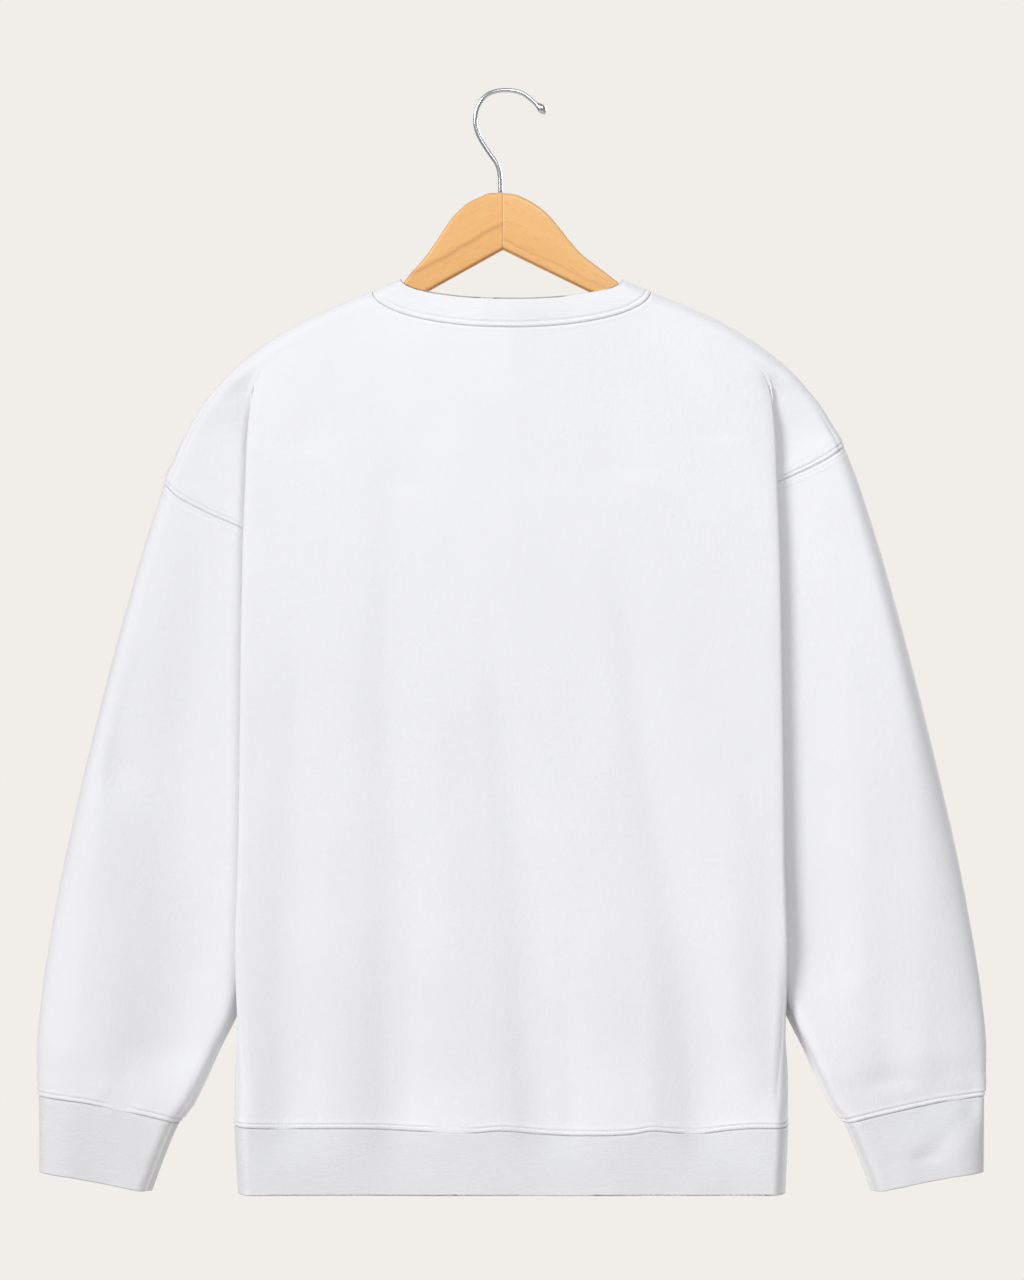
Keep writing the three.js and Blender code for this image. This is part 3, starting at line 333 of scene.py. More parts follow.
def bare_depth(x, z):
    """Half depth of the smooth body."""
    nose = SHOULDER_ROUND * rounded_edge((arm_half(z) - x) * outline_tilt(z) / SHOULDER_ROUND)
    drop = np.maximum(ridge_above(x) - z, 0)
    middle = 1 - MIDDLE_SWELL * (x / edge_half(z)) ** 2
    swell = BODY_SWELL * (1 - np.exp(-drop / BODY_SWELL_DROP)) * middle
    pit = bell((x - FOLD_PIT["half"]) / FOLD_PIT["wide"]) * bell((z - FOLD_PIT["z"]) / FOLD_PIT["high"])
    return mix(nose + swell - FOLD_PIT["deep"] * pit, HEM_HALF_DEPTH, hem_ease(z))


def panel_folds(x, z, side, face):
    """Depth of a panel's folds; face -1 is the back, 1 the front."""
    return folds_at(BACK_FOLDS if face < 0 else FRONT_FOLDS, side * x, z)


def body_depth(x, z, side, face):
    """Half depth of a panel with its folds."""
    return bare_depth(x, z) - panel_folds(x, z, side, face) - creases_at(side * x, z)


def lobe_deep(z, level):
    """Half depth of the cloth that lies behind the turned edge."""
    clear = bare_depth(edge_half(z), np.maximum(z, HEM_EASE[0])) - lip_depth(z) - FOLD_CLEARANCE
    return np.minimum(clear, sleeve_deep(level))


def sleeve_depth(x, z, along, side):
    """Half depth of the cloth outside the side fold, and of the sleeve and cuff."""
    level = z - SLEEVE_SEAM_DROP * along
    outer_edge = rounded_edge((arm_half(z) - x) * outline_tilt(z) / sleeve_rounding(level))
    closing = CLOSING["most"] * ease((UNDERARM_Z - z) / CLOSING["within"])
    inner = np.where(z > UNDERARM_Z, valley_half(z), inner_half(z))
    inner_edge = mix(1, rounded_edge((x - inner) / inner_round(z)), closing)
    folds = folds_at(SLEEVE_FOLDS, side * x, z)
    folded = (lobe_deep(z, level) - folds) * outer_edge * inner_edge
    return np.where(z < UNDERARM_Z, folded, mix(bare_depth(x, z), folded, folded_amount(z)))


def fold_corners(z, side, face):
    """Corners that steer the turned edge and the valley behind it."""
    edge, valley, amount = edge_half(z), valley_half(z), folded_amount(z)
    deep_edge = body_depth(edge, z, side, face)
    deep_wall = bare_depth(edge, z) - lip_depth(z)
    deep_lobe = np.minimum(deep_wall - FOLD_CLEARANCE, lobe_deep(z, z))
    turned = [
        (edge - EDGE_REACH, deep_edge), (edge, deep_edge), (edge, deep_wall), (edge - EDGE_REACH, deep_wall),
        (valley + VALLEY_REACH, deep_wall), (valley, deep_wall), (valley, deep_lobe),
        (valley + VALLEY_REACH, deep_lobe),
    ]
    start = np.stack([edge - FLAT_START + i * FLAT_SPREAD / (len(turned) - 1) for i in range(len(turned))])
    level = body_depth(start, z, side, face)
    return [
        (mix(start[i], x_turned, amount), mix(level[i], y_turned, amount))
        for i, (x_turned, y_turned) in enumerate(turned)
    ]


def curve_point(corners, u):
    """Place on the smooth curve that the corners steer; whole numbers are the middles of its legs."""
    leg = max(int(math.ceil(u)), 0)

    def middle(i):
        return tuple((a + b) / 2 for a, b in zip(corners[i], corners[i + 1]))

    if leg == 0:
        return middle(0)
    t = u - leg + 1
    start, end, corner = middle(leg - 1), middle(leg), corners[leg]
    return tuple((1 - t) ** 2 * a + 2 * t * (1 - t) * c + t * t * b for a, c, b in zip(start, corner, end))


def hem_side(z, step):
    """Half width and half depth on the round side of the hem; the last step is the side seam."""
    angle = math.pi / 2 * (1 - step / SIDE_STEPS)
    x = edge_half(z) - HEM_ROUND + HEM_ROUND * math.cos(angle)
    return x, HEM_HALF_DEPTH * math.sin(angle) + 0 * z


# Stations across half of a panel, from the middle out. Each is a zone, a place in the zone and
# how far along it lies from the fold, 0, to the outline, 1.
MAIN_PARTS = np.linspace(0, 1, 45)
FOLD_PLACES = np.concatenate([np.linspace(0, 3, 19)[1:], np.linspace(3, 5, 15)[1:]])
START_PLACES = np.linspace(5, 6, 6)[1:]
LOBE_PARTS = np.linspace(0, 1, 22)[1:-1]
SEAM_ANGLE = 49.458
EDGE_ANGLES = [90, 81, 71, 60, SEAM_ANGLE, 40, 31, 22, 13, 6, 0]
START_ALONG = 0.05
EDGE_ALONG = 0.8


def make_stations():
    rows = [("main", part, 0.0) for part in MAIN_PARTS]
    rows += [("fold", u, 0.0) for u in FOLD_PLACES]
    rows += [("start", u, START_ALONG * (u - 5)) for u in START_PLACES]
    rows += [("lobe", part, mix(START_ALONG, EDGE_ALONG, part)) for part in LOBE_PARTS]
    for angle in EDGE_ANGLES:
        part = 1 - math.cos(math.radians(angle))
        rows.append(("edge", part, mix(1, EDGE_ALONG, part)))
    return rows


STATIONS = make_stations()
VALLEY_AT = len(MAIN_PARTS) + len(FOLD_PLACES) - 1
RIDGE_AT = len(STATIONS) - 1
SEAM_AT = RIDGE_AT - (len(EDGE_ANGLES) - 1 - EDGE_ANGLES.index(SEAM_ANGLE))
# Places round the side fold that become the even steps of the hem's round side.
HEM_PLACES = [0, 0.5, 1, 1.5, 2, 4, 4.5, 5]


def start_inset(u, z):
    """How far a start station lies from the sleeve's inner edge, more where that edge is rounder."""
    return np.maximum(2 * (u - 5), 0.45 * (u - 5) ** 1.68 * inner_round(z))


def profile(at, z, side, face):
    """Half width and half depth of a station at each height."""
    zone, place, along = STATIONS[at]
    hem = hem_ease(z)
    if zone == "main":
        corners = fold_corners(z, side, face)
        x = place * mix(curve_point(corners, 0)[0], edge_half(z) - HEM_ROUND, hem)
        return x, body_depth(x, z, side, face)
    if zone == "fold":
        turned = curve_point(fold_corners(z, side, face), place)
        round_x, round_y = hem_side(z, np.interp(place, HEM_PLACES, range(len(HEM_PLACES))))
        round_y = round_y - panel_folds(round_x, z, side, face) * (round_y / HEM_HALF_DEPTH) ** 4
        return mix(turned[0], round_x, hem), mix(turned[1], round_y, hem)
    above = z >= UNDERARM_Z
    corners = fold_corners(z, side, face)
    if zone == "start":
        x_low = inner_half(z) + start_inset(place, z)
        x_high, y_high = curve_point(corners, place)
        y_low = sleeve_depth(x_low, z, along, side)
        return np.where(above, x_high, x_low), np.where(above, y_high, y_low)
    start = np.where(above, curve_point(corners, 6)[0], inner_half(z) + start_inset(6, z))
    outer = arm_half(z)
    rounding = sleeve_rounding(z - SLEEVE_SEAM_DROP * along) / outline_tilt(z)
    x = mix(start, outer - rounding, place) if zone == "lobe" else outer - rounding * place
    return x, sleeve_depth(x, z, along, side)


def to_points(half, deep, z, side, face):
    """Places from half widths, half depths and heights."""
    flat = np.broadcast_arrays(GARMENT_MIDDLE_X + side * half, face * deep, z)
    return np.stack(flat, axis=-1).astype(float)


def place_column(column, z):
    x, y = profile(column["at"], z, column["side"], column["face"])
    return to_points(x, y, z, column["side"], column["face"])


NECK_ANGLES = np.linspace(0, math.pi / 2, 241)
NECK_ENDS = {}


def drop_of(sizes, face):
    return sizes["back"] if face < 0 else sizes["front"]


def neck_seam(column):
    """Where a station ends on the neck seam: half width, height, half depth and angle."""
    key = (column["at"], column["side"], column["face"])
    if key not in NECK_ENDS:
        NECK_ENDS[key] = find_neck_end(column)
    return NECK_ENDS[key]


def find_neck_end(column):
    zone, place, _ = STATIONS[column["at"]]
    drop = drop_of(NECK, column["face"])
    angle = 0.0
    if not (zone == "main" and place == 0):
        x = profile(column["at"], NECK["z"] - drop * np.cos(NECK_ANGLES), column["side"], column["face"])[0]
        spare = x - NECK["half"] * np.sin(NECK_ANGLES)
        i = int(np.argmax(spare <= 0)) if (spare <= 0).any() else len(spare) - 1
        part = spare[i - 1] / (spare[i - 1] - spare[i]) if spare[i] <= 0 else 1
        angle = mix(NECK_ANGLES[i - 1], NECK_ANGLES[i], part)
    z = NECK["z"] - drop * math.cos(angle)
    x = NECK["half"] * math.sin(angle)
    deep = 0.0 if zone == "edge" and place == 0 else float(bare_depth(x, z))
    return x, z, deep, angle


MIDDLE_SEAM = (ARMHOLE[-1]["inner"] + ARMHOLE[1]["inner"]) / 2


def seam_height(column):
    """Height where a column crosses the armhole seam, or its level line across the body."""
    zone, place, along = STATIONS[column["at"]]
    seam = ARMHOLE[column["side"]]
    if zone == "main":
        return mix(MIDDLE_SEAM, seam["inner"], place)
    return mix(seam["inner"], seam["outer"], along)


# Distances of the first rows from a seam or a free edge.
SEAM_STEPS = [0, 0.5, 1, 1.6, 2.3, 3, 3.8, 4.6, 5.5, 6.6, 8, 10, 13, 17]


def spaced(length, step, fine_start=True, fine_end=True):
    """Fractions from 0 to 1, close together near a seam."""
    fine = np.array([away for away in SEAM_STEPS if away < 0.45 * length]) / length
    low = fine if fine_start else np.array([0.0])
    high = 1 - fine[::-1] if fine_end else np.array([1.0])
    count = max(int(round((high[0] - low[-1]) * length / step)), 1)
    return np.concatenate([low, np.linspace(low[-1], high[0], count + 1)[1:-1], high])


class Sheet:
    """Places of one piece of cloth, joined by four-sided faces, with what its finish needs."""

    def __init__(self, wall):
        self.wall = wall
        self.points = np.zeros((0, 3))
        self.uv = np.zeros((0, 2))
        self.quads = []
        self.rows = {}

    def add(self, points, uv):
        start = len(self.points)
        self.points = np.concatenate([self.points, points.reshape(-1, 3)])
        self.uv = np.concatenate([self.uv, uv.reshape(-1, 2)])
        return np.arange(start, len(self.points)).reshape(points.shape[:-1])

    def join(self, grid, flip=False):
        a, b, c, d = grid[:-1, :-1], grid[1:, :-1], grid[1:, 1:], grid[:-1, 1:]
        quads = np.stack([a, b, c, d], axis=-1).reshape(-1, 4)
        self.quads.append(quads[:, ::-1] if flip else quads)

    def faces(self):
        return np.concatenate(self.quads)


def across(points):
    """Distance along each row of a grid of places, from its first column."""
    steps = np.linalg.norm(np.diff(points, axis=1), axis=2)
    return np.concatenate([np.zeros((len(points), 1)), np.cumsum(steps, axis=1)], axis=1)


def grain(points, middle):
    """Distances along and down the knit from the middle column."""
    run = across(points)
    return np.stack([run - run[:, middle : middle + 1], points[..., 2]], axis=-1)


def yoke_columns(face):
    half = [{"face": face, "at": at} for at in range(SEAM_AT + 1)]
    if face > 0:
        half += [{"face": 1, "at": at} for at in range(SEAM_AT + 1, RIDGE_AT + 1)]
        half += [{"face": -1, "at": at} for at in range(RIDGE_AT - 1, SEAM_AT - 1, -1)]
    left = [{**column, "side": -1} for column in half[:0:-1]]
    return left + [{**column, "side": 1} for column in half]


def lower_columns(face):
    half = [{"face": face, "at": at} for at in range(VALLEY_AT + 1)]
    left = [{**column, "side": -1} for column in half[:0:-1]]
    return left + [{**column, "side": 1} for column in half]


def fold_bottom(side, face, part, z):
    """The bottom of the side fold, where the side seam runs; part is 1 on the seam."""
    round_x, round_y = hem_side(z, mix(len(HEM_PLACES) - 1, SIDE_STEPS, part))
    hem = hem_ease(z)
    inset = CLOSING["inset"] * part * ease((UNDERARM_Z - z) / CLOSING["bottom"])
    corner_x, corner_y = curve_point(fold_corners(z, side, face), 5)
    x = mix(corner_x - inset, round_x, hem)
    y = mix(corner_y * (1 - part), round_y, hem)
    return to_points(x, y, z, side, face)


YOKE_PARTS = spaced(150, 4.2)
ARMHOLE_PARTS = spaced(100, 5, fine_end=False)
BODY_PARTS = spaced(408, 4.6, fine_start=False)
BOTTOM_PARTS = [0.25, 0.5, 0.75, 1.0]


def panel_sheet(face, wall):
    sheet = Sheet(wall)
    flip = face > 0
    yoke, lower = yoke_columns(face), lower_columns(face)
    columns = []
    for column in yoke:
        x, z, deep, _ = neck_seam(column)
        heights = mix(z, seam_height(column), YOKE_PARTS)
        points = place_column(column, heights)
        points[0] = to_points(x, deep, z, column["side"], column["face"])
        columns.append(points)
    grid = np.stack(columns, axis=1)
    middle = len(yoke) // 2
    yoke_ids = sheet.add(grid, grain(grid, middle))
    sheet.join(yoke_ids, flip)
    sheet.rows["neck"] = yoke_ids[0]
    sheet.yoke_ids = yoke_ids
    first = middle - VALLEY_AT
    columns = []
    for column in lower:
        seam = seam_height(column)
        heights = np.concatenate([
            mix(seam, UNDERARM_Z, ARMHOLE_PARTS)[1:],
            mix(UNDERARM_Z, HEM_SEAM_Z, BODY_PARTS)[1:],
        ])
        columns.append(place_column(column, heights))
    grid = np.stack(columns, axis=1)
    lower_ids = sheet.add(grid, grain(grid, VALLEY_AT))
    lower_ids = np.concatenate([yoke_ids[-1:, first : first + len(lower)], lower_ids])
    sheet.join(lower_ids, flip)
    sheet.lower_ids = lower_ids
    start = len(ARMHOLE_PARTS) - 1
    z = mix(UNDERARM_Z, HEM_SEAM_Z, BODY_PARTS)
    for side in (-1, 1):
        edge = lower_ids[start:, 0 if side < 0 else -1]
        points = np.stack([fold_bottom(side, face, part, z) for part in BOTTOM_PARTS], axis=1)
        first_step = np.linalg.norm(points[:, :1] - sheet.points[edge][:, None], axis=2)
        steps = first_step * np.arange(1, len(BOTTOM_PARTS) + 1)
        uv = np.stack([sheet.uv[edge][:, :1] + side * steps, points[..., 2]], axis=-1)
        ids = np.concatenate([edge[:, None], sheet.add(points, uv)], axis=1)
        sheet.join(ids, flip if side > 0 else not flip)
        sheet.rows["bottom%d" % side] = ids
    return sheet


SLEEVE_COLUMNS = [{"face": -1, "at": at} for at in range(VALLEY_AT, RIDGE_AT + 1)]
SLEEVE_COLUMNS += [{"face": 1, "at": at} for at in range(RIDGE_AT - 1, VALLEY_AT - 1, -1)]
INNER_PARTS = [0.75, 0.5, 0.25, 0, -0.25, -0.5, -0.75]
INNER_STEP = 4.0


def sleeve_heights(side):
    """Heights of the sleeve's rows at its inner and outer edge."""
    seam = ARMHOLE[side]
    bottom = CUFF_SEAM_Z - SLEEVE_SEAM_DROP
    inner = np.concatenate([
        mix(seam["inner"], UNDERARM_Z, ARMHOLE_PARTS),
        mix(UNDERARM_Z, bottom, spaced(406, 4.6, fine_start=False))[1:],
    ])
    outer = mix(seam["outer"], CUFF_SEAM_Z, (seam["inner"] - inner) / (seam["inner"] - bottom))
    return inner, outer


def cuff_heights():
    parts = spaced(60, 3.2)
    inner = mix(CUFF_SEAM_Z - SLEEVE_SEAM_DROP, CUFF_BOTTOM["inner"], parts)
    return inner, mix(CUFF_SEAM_Z, CUFF_BOTTOM["outer"], parts)


def tube_sheet(side, heights, open_rows, wall):
    """A sleeve or cuff; its first rows are open towards the body, the others close round."""
    sheet = Sheet(wall)
    inner, outer = heights
    columns = []
    for column in SLEEVE_COLUMNS:
        zone, _, along = STATIONS[column["at"]]
        z = mix(inner, outer, along)
        points = place_column({**column, "side": side}, z)
        if zone == "fold":
            x = inner_half(z)
            closed = to_points(x, sleeve_depth(x, z, 0, side), z, side, column["face"])
            points = np.where((z > UNDERARM_Z)[:, None], points, closed)
        columns.append(points)
    grid = np.stack(columns, axis=1)
    uv = np.stack([across(grid), np.broadcast_to(inner[:, None], grid.shape[:2])], axis=-1)
    ids = sheet.add(grid, uv)
    sheet.join(ids, side < 0)
    closed_ids = [ids[open_rows:, -1]]
    z = inner[open_rows:]
    x = inner_half(z)
    room = np.minimum(CLOSING["inset"], (x - valley_half(z)) / 2)
    swell = room * ease((UNDERARM_Z - z) / CLOSING["bottom"])
    for step, part in enumerate(INNER_PARTS[::-1], 1):
        deep = sleeve_depth(x, z, 0, side) * abs(part)
        points = to_points(x - swell * (1 - part * part), deep, z, side, -1 if part > 0 else 1)
        steps = uv[open_rows:, -1, :1] + INNER_STEP * step
        closed_ids.append(sheet.add(points[:, None], np.stack([steps, z[:, None]], axis=-1))[:, 0])
    closed_ids.append(ids[open_rows:, 0])
    closed_ids = np.stack(closed_ids, axis=1)
    sheet.join(closed_ids, side < 0)
    sheet.tube_ids = ids
    sheet.closed_ids = closed_ids
    sheet.row_distance = np.abs(inner - inner[0]), np.abs(inner - inner[-1])
    return sheet


def ring_uv(points):
    """Distances round a closed ring and down the band."""
    steps = np.linalg.norm(np.diff(points, axis=1, append=points[:, :1]), axis=2)
    run = np.concatenate([np.zeros((len(points), 1)), np.cumsum(steps, axis=1)[:, :-1]], axis=1)
    fall = np.linalg.norm(np.diff(points, axis=0), axis=2).mean(axis=1)
    down = np.concatenate([[0], np.cumsum(fall)])[:, None]
    return np.stack([run, np.broadcast_to(-down, run.shape)], axis=-1)


def close_ring(ids):
    return np.concatenate([ids, ids[:, :1]], axis=1)


def hem_sheet(wall):
    sheet = Sheet(wall)
    z = mix(HEM_SEAM_Z, HEM_BOTTOM_Z, spaced(55.5, 3))
    columns = []
    for face in (-1, 1):
        across_face = [fold_bottom(-1, face, part, z) for part in BOTTOM_PARTS[::-1]]
        across_face += [place_column(column, z) for column in lower_columns(face)]
        across_face += [fold_bottom(1, face, part, z) for part in BOTTOM_PARTS]
        columns += across_face if face < 0 else across_face[::-1][1:-1]
    grid = np.stack(columns, axis=1)
    ids = sheet.add(grid, ring_uv(grid))
    sheet.join(close_ring(ids))
    sheet.ring_ids = ids
    return sheet


def neck_sheet(wall):
    sheet = Sheet(wall)
    ring = yoke_columns(-1) + yoke_columns(1)[::-1][1:-1]
    up = 1 - spaced(31, 2.4)
    columns = []
    for column in ring:
        x, z, deep, angle = neck_seam(column)
        edge_x = NECK_EDGE["half"] * math.sin(angle)
        edge_z = NECK_EDGE["z"] - drop_of(NECK_EDGE, column["face"]) * math.cos(angle)
        swell = 1 + NECK_RIB_SWELL * np.sin(math.pi * up)
        half, height = mix(x, edge_x, up), mix(z, edge_z, up)
        depth = mix(deep, deep * NECK_EDGE["tuck"], up) * swell
        columns.append(to_points(half, depth, height, column["side"], column["face"]))
    grid = np.stack(columns, axis=1)
    ids = sheet.add(grid, ring_uv(grid))
    sheet.join(close_ring(ids))
    sheet.ring_ids = ids
    return sheet


def face_normals(points, faces):
    a, b, c, d = (points[faces[:, i]] for i in range(4))
    return np.cross(c - a, d - b)


def sum_normals(points, faces):
    sums = np.zeros_like(points)
    normals = face_normals(points, faces)
    for i in range(4):
        np.add.at(sums, faces[:, i], normals)
    return sums


def free_edges(faces):
    """Edges that only one face has, in that face's direction."""
    edges = np.concatenate([faces[:, [i, (i + 1) % 4]] for i in range(4)]).astype(np.int64)
    more_than_all = edges.max() + 1
    keys = edges[:, 0] * more_than_all + edges[:, 1]
    twins = edges[:, 1] * more_than_all + edges[:, 0]
    return edges[~np.isin(keys, twins)]


def unit(vectors):
    return vectors / np.maximum(np.linalg.norm(vectors, axis=-1, keepdims=True), 1e-9)


# Places closer together than this are one place on a seam.
MEETING = 0.02


def share_normals(sheets):
    """Normals of every sheet, summed where sheets meet so that their walls line up."""
    sums = {name: sum_normals(sheet.points, sheet.faces()) for name, sheet in sheets.items()}
    spots = []
    for name, sheet in sheets.items():
        sheet.edges = free_edges(sheet.faces())
        spots += [(name, i) for i in np.unique(sheet.edges)]
    tree = KDTree(len(spots))
    for k, (name, i) in enumerate(spots):
        tree.insert(sheets[name].points[i], k)
    tree.balance()
    shared = []
    for name, i in spots:
        near = [spots[k] for _, k, _ in tree.find_range(sheets[name].points[i], MEETING)]
        shared.append(sum(sums[other][j] for other, j in near))
    for (name, i), total in zip(spots, shared):
        sums[name][i] = total
    for name, sheet in sheets.items():
        sheet.normals = unit(sums[name])


# Places on the back where a seam line fades into the cloth: middle and reach.
SEAM_FADES = table(
    "x z reach", (-47, -870, 17), (156, -868, 9), (-187, -868, 6), (-325, -849, 13), (377, -849, 8),
)
# How far the hem seam hangs below its straight line on the back.
HEM_DRIFT = table(
    "x down",
    (-230, -1.4), (-190, 0), (-130, -0.5), (-74, 1.8), (-28, 3), (-7, 1.4), (30, 4.5), (56, 5.6), (83, 5.4),
    (105, 4), (122, 1.4), (145, 3.4), (163, 3.8), (185, 1.2), (210, -0.6), (230, -0.6),
)
hem_drift = through(HEM_DRIFT, "x", "down")
# The sag fades away from the seam. The front has a part of it, blended in over the body's side.
HEM_SAG = {"reach": 26, "front": 0.6, "blend": 50}

# How far the seams above the underarm close: the neck seam, which lies within neck_half of the
# middle, and the armhole seams, which close altogether on top of the shoulder.
YOKE_SEAMS = {"neck": 0.3, "armhole": 0.7, "neck_half": 119, "lowest": UNDERARM_Z - 20}
SHOULDER_CLOSING = {"z": -292, "over": 40}

# Lines that the sewing leaves beside a seam: distance from it, half width, and height as a part of
# the seam ridge. A negative height is sunk.
BOTH_SIDES = table("away wide high", (0, 0.7, -0.55), (1.9, 0.9, 1), (5.3, 1.2, 0.9))
PANEL_AT_NECK = table("away wide high", (0, 0.9, -0.5), (2.4, 1.4, 0.25))
PANEL_OVER_ARMHOLE = table("away wide high", (9, 6, 1.5))
SLEEVE_AT_ARMHOLE = table("away wide high", (0, 1.2, -0.25))
RIB_AT_SEAM = table("away wide high", (0, 0.9, -0.5))
CUFF_AT_EDGE = table("away wide high", (0, 0.9, -0.4))
RIB_AT_NECK = table("away wide high", (2.2, 1.3, 0.55), (0, 0.8, -0.6), (6.4, 1.2, 0.4))

# Stitch lines: distance from the seam, half width, and depth as a part of the stitch groove.
STITCH_LINE = {"away": 3.5, "wide": 0.6, "deep": 1.0}
NECK_STITCH_LINE = {"away": 4.6, "wide": 0.7, "deep": 0.7}

# The sleeve swells over its cuff: distance from the seam, half width and height.
SLEEVE_OVER_CUFF = {"away": 11, "wide": 9, "high": 1.1}
SLEEVE_RIDGE_PART = 0.4
PANEL_RIDGE_PART = 0.8

# Puckers beside the ribs: how far they reach, and height as a part of the gathers' own.
GATHERS = {
    "panel": {"reach": 16, "part": 1.0}, "sleeve": {"reach": 20, "part": 1.3},
    "cuff": {"reach": 12, "part": 0.6}, "hem": {"reach": 14, "part": 0.8},
}
PANEL_GATHERS_TOP = 80

# Unevenness of the cloth: height of its slow and quick waves, the rib's part of it, and how far
# from the neck seam it has come in.
UNEVEN = {"slow": 0.32, "quick": 0.12, "rib": 0.4, "neck": 20}
FAR = 99


def shoulder_closing(z):
    """1 where the seam on the shoulder has closed, 0 below the bend of the shoulder."""
    return ease((z - SHOULDER_CLOSING["z"]) / SHOULDER_CLOSING["over"])


def seam_tightness(points):
    """0 where a seam shows as an open line, 1 where the cloth closes over it."""
    x, y, z = points[:, 0], points[:, 1], points[:, 2]
    half = np.abs(x - GARMENT_MIDDLE_X)
    armhole = mix(YOKE_SEAMS["armhole"], 1.0, shoulder_closing(z))
    shoulder = np.where(half > YOKE_SEAMS["neck_half"], armhole, YOKE_SEAMS["neck"])
    shoulder = shoulder * (z > YOKE_SEAMS["lowest"])
    away = np.hypot(x[:, None] - SEAM_FADES["x"], z[:, None] - SEAM_FADES["z"]) / SEAM_FADES["reach"]
    faded = bell(away ** 2).max(axis=1) * (y < 0)
    return np.maximum(shoulder, faded)


def sag_hem(points):
    """Lets the hem seam wander below its straight line; the front wanders less and the other way."""
    x, y, z = points[:, 0], points[:, 1], points[:, 2]
    front = ease(0.5 + y / HEM_SAG["blend"])
    down = mix(hem_drift(x), HEM_SAG["front"] * hem_drift(-x), front)
    points[:, 2] -= down * bell((z - HEM_SEAM_Z) / HEM_SAG["reach"])


def seam_lines(distance, lines, ridge):
    """Height of the raised and sunk lines of a table beside a seam."""
    rows = spread(lines, np.ndim(distance))
    return ridge * (rows["high"] * bell((distance - rows["away"]) / rows["wide"])).sum(axis=0)


def stitch_groove(distance, line, groove):
    return line["deep"] * groove * bell((distance - line["away"]) / line["wide"])


def sewn_seam(distance, ridge, groove):
    """Raised and sunk lines that a cover-stitched seam leaves beside it."""
    return seam_lines(distance, BOTH_SIDES, ridge) - stitch_groove(distance, STITCH_LINE, groove)


def gathers(run, distance, kind, height):
    """Small puckers beside a seam where the cloth is eased into the rib, in uneven patches."""
    reach, height = GATHERS[kind]["reach"], GATHERS[kind]["part"] * height
    wave = (
        np.sin(run / 3.1 + 0.6 * np.sin(run / 17))
        + 0.8 * np.sin(run / 5.3 + 1.7 + np.sin(run / 29))
        + 0.7 * np.sin(run / 11.9 + 0.4)
    )
    patch = 0.55 + 0.45 * np.sin(run / 41 + 1.1 * np.sin(run / 23))
    return height * wave * patch * np.exp(-distance / reach) * ease(distance / 2)


def cloth_unevenness(points):
    """Waves of unlike lengths, which differ between the back and the front."""
    x, y, z = points[:, 0], points[:, 1], points[:, 2]
    side = np.sign(y)
    slow = np.sin(x / 31 + 1.3 * side + 0.5 * np.sin(z / 57)) * np.sin(z / 71 + x / 83 + side)
    quick = np.sin(x / 13.3 + 0.8 * np.sin(z / 37) + side) * np.sin(z / 29 + 0.6 * np.sin(x / 19))
    return UNEVEN["slow"] * slow + UNEVEN["quick"] * quick


NECK_LINE = np.linspace(-math.pi / 2, math.pi / 2, 361)


def neck_distance(points, face):
    """Distance of places from the neck seam on one face."""
    x = GARMENT_MIDDLE_X + NECK["half"] * np.sin(NECK_LINE)
    z = NECK["z"] - drop_of(NECK, face) * np.cos(NECK_LINE)
    gap = (points[:, 0, None] - x) ** 2 + (points[:, 2, None] - z) ** 2
    return np.sqrt(gap.min(axis=1))


def panel_relief(sheet, face, relief, move):
    """Lines and puckers of a panel at its neck, hem, shoulders and armholes."""
    points, ids = sheet.points, sheet.yoke_ids
    own_side = points[:, 1] * face >= 0
    neck = np.where(own_side, neck_distance(points, face), FAR)
    move *= ease(neck / UNEVEN["neck"])
    move += seam_lines(neck, PANEL_AT_NECK, relief.ridge)
    hem = points[:, 2] - HEM_SEAM_Z
    move += sewn_seam(hem, relief.ridge, relief.groove) * (1 - sheet.tight)
    move += gathers(points[:, 0], hem, "panel", relief.gathers) * (hem < PANEL_GATHERS_TOP)
    run, height = across(points[ids]), points[ids][..., 2]
    for seam in (run, run[:, -1:] - run):
        move[ids] += PANEL_RIDGE_PART * sewn_seam(seam, relief.ridge, 0) * (1 - shoulder_closing(height))
    rise = height - height[-1:]
    armhole = seam_lines(rise, PANEL_OVER_ARMHOLE, relief.ridge) + sewn_seam(rise, relief.ridge, 0)
    move[ids] += armhole * lobe_mask(face)


def sleeve_relief(sheet, relief, move):
    """Lines of a sleeve below its armhole, and its swell and puckers over the cuff."""
    start, end = (distance[:, None] for distance in sheet.row_distance)
    ids, closed = sheet.tube_ids, sheet.closed_ids
    below = sewn_seam(start, SLEEVE_RIDGE_PART * relief.ridge, 0)
    below = below + seam_lines(start, SLEEVE_AT_ARMHOLE, relief.ridge)
    swell = SLEEVE_OVER_CUFF["high"] * bell((end - SLEEVE_OVER_CUFF["away"]) / SLEEVE_OVER_CUFF["wide"])
    above = sewn_seam(end, relief.ridge, relief.groove) + swell
    puckers = gathers(across(sheet.points[ids]), end, "sleeve", relief.gathers)
    move[ids] += below + above * (1 - sheet.tight[ids]) + puckers
    move[closed[:, 1:-1]] += (below + above)[len(start) - len(closed) :]


def cuff_relief(sheet, relief, move):
    """Lines of a cuff at its seam and its free edge, and its puckers."""
    start, end = (distance[:, None] for distance in sheet.row_distance)
    ids = sheet.tube_ids
    line = seam_lines(start, RIB_AT_SEAM, relief.ridge) + seam_lines(end, CUFF_AT_EDGE, relief.ridge)
    move[ids] += line + gathers(across(sheet.points[ids]), start, "cuff", relief.gathers)
    move[sheet.closed_ids[:, 1:-1]] += line


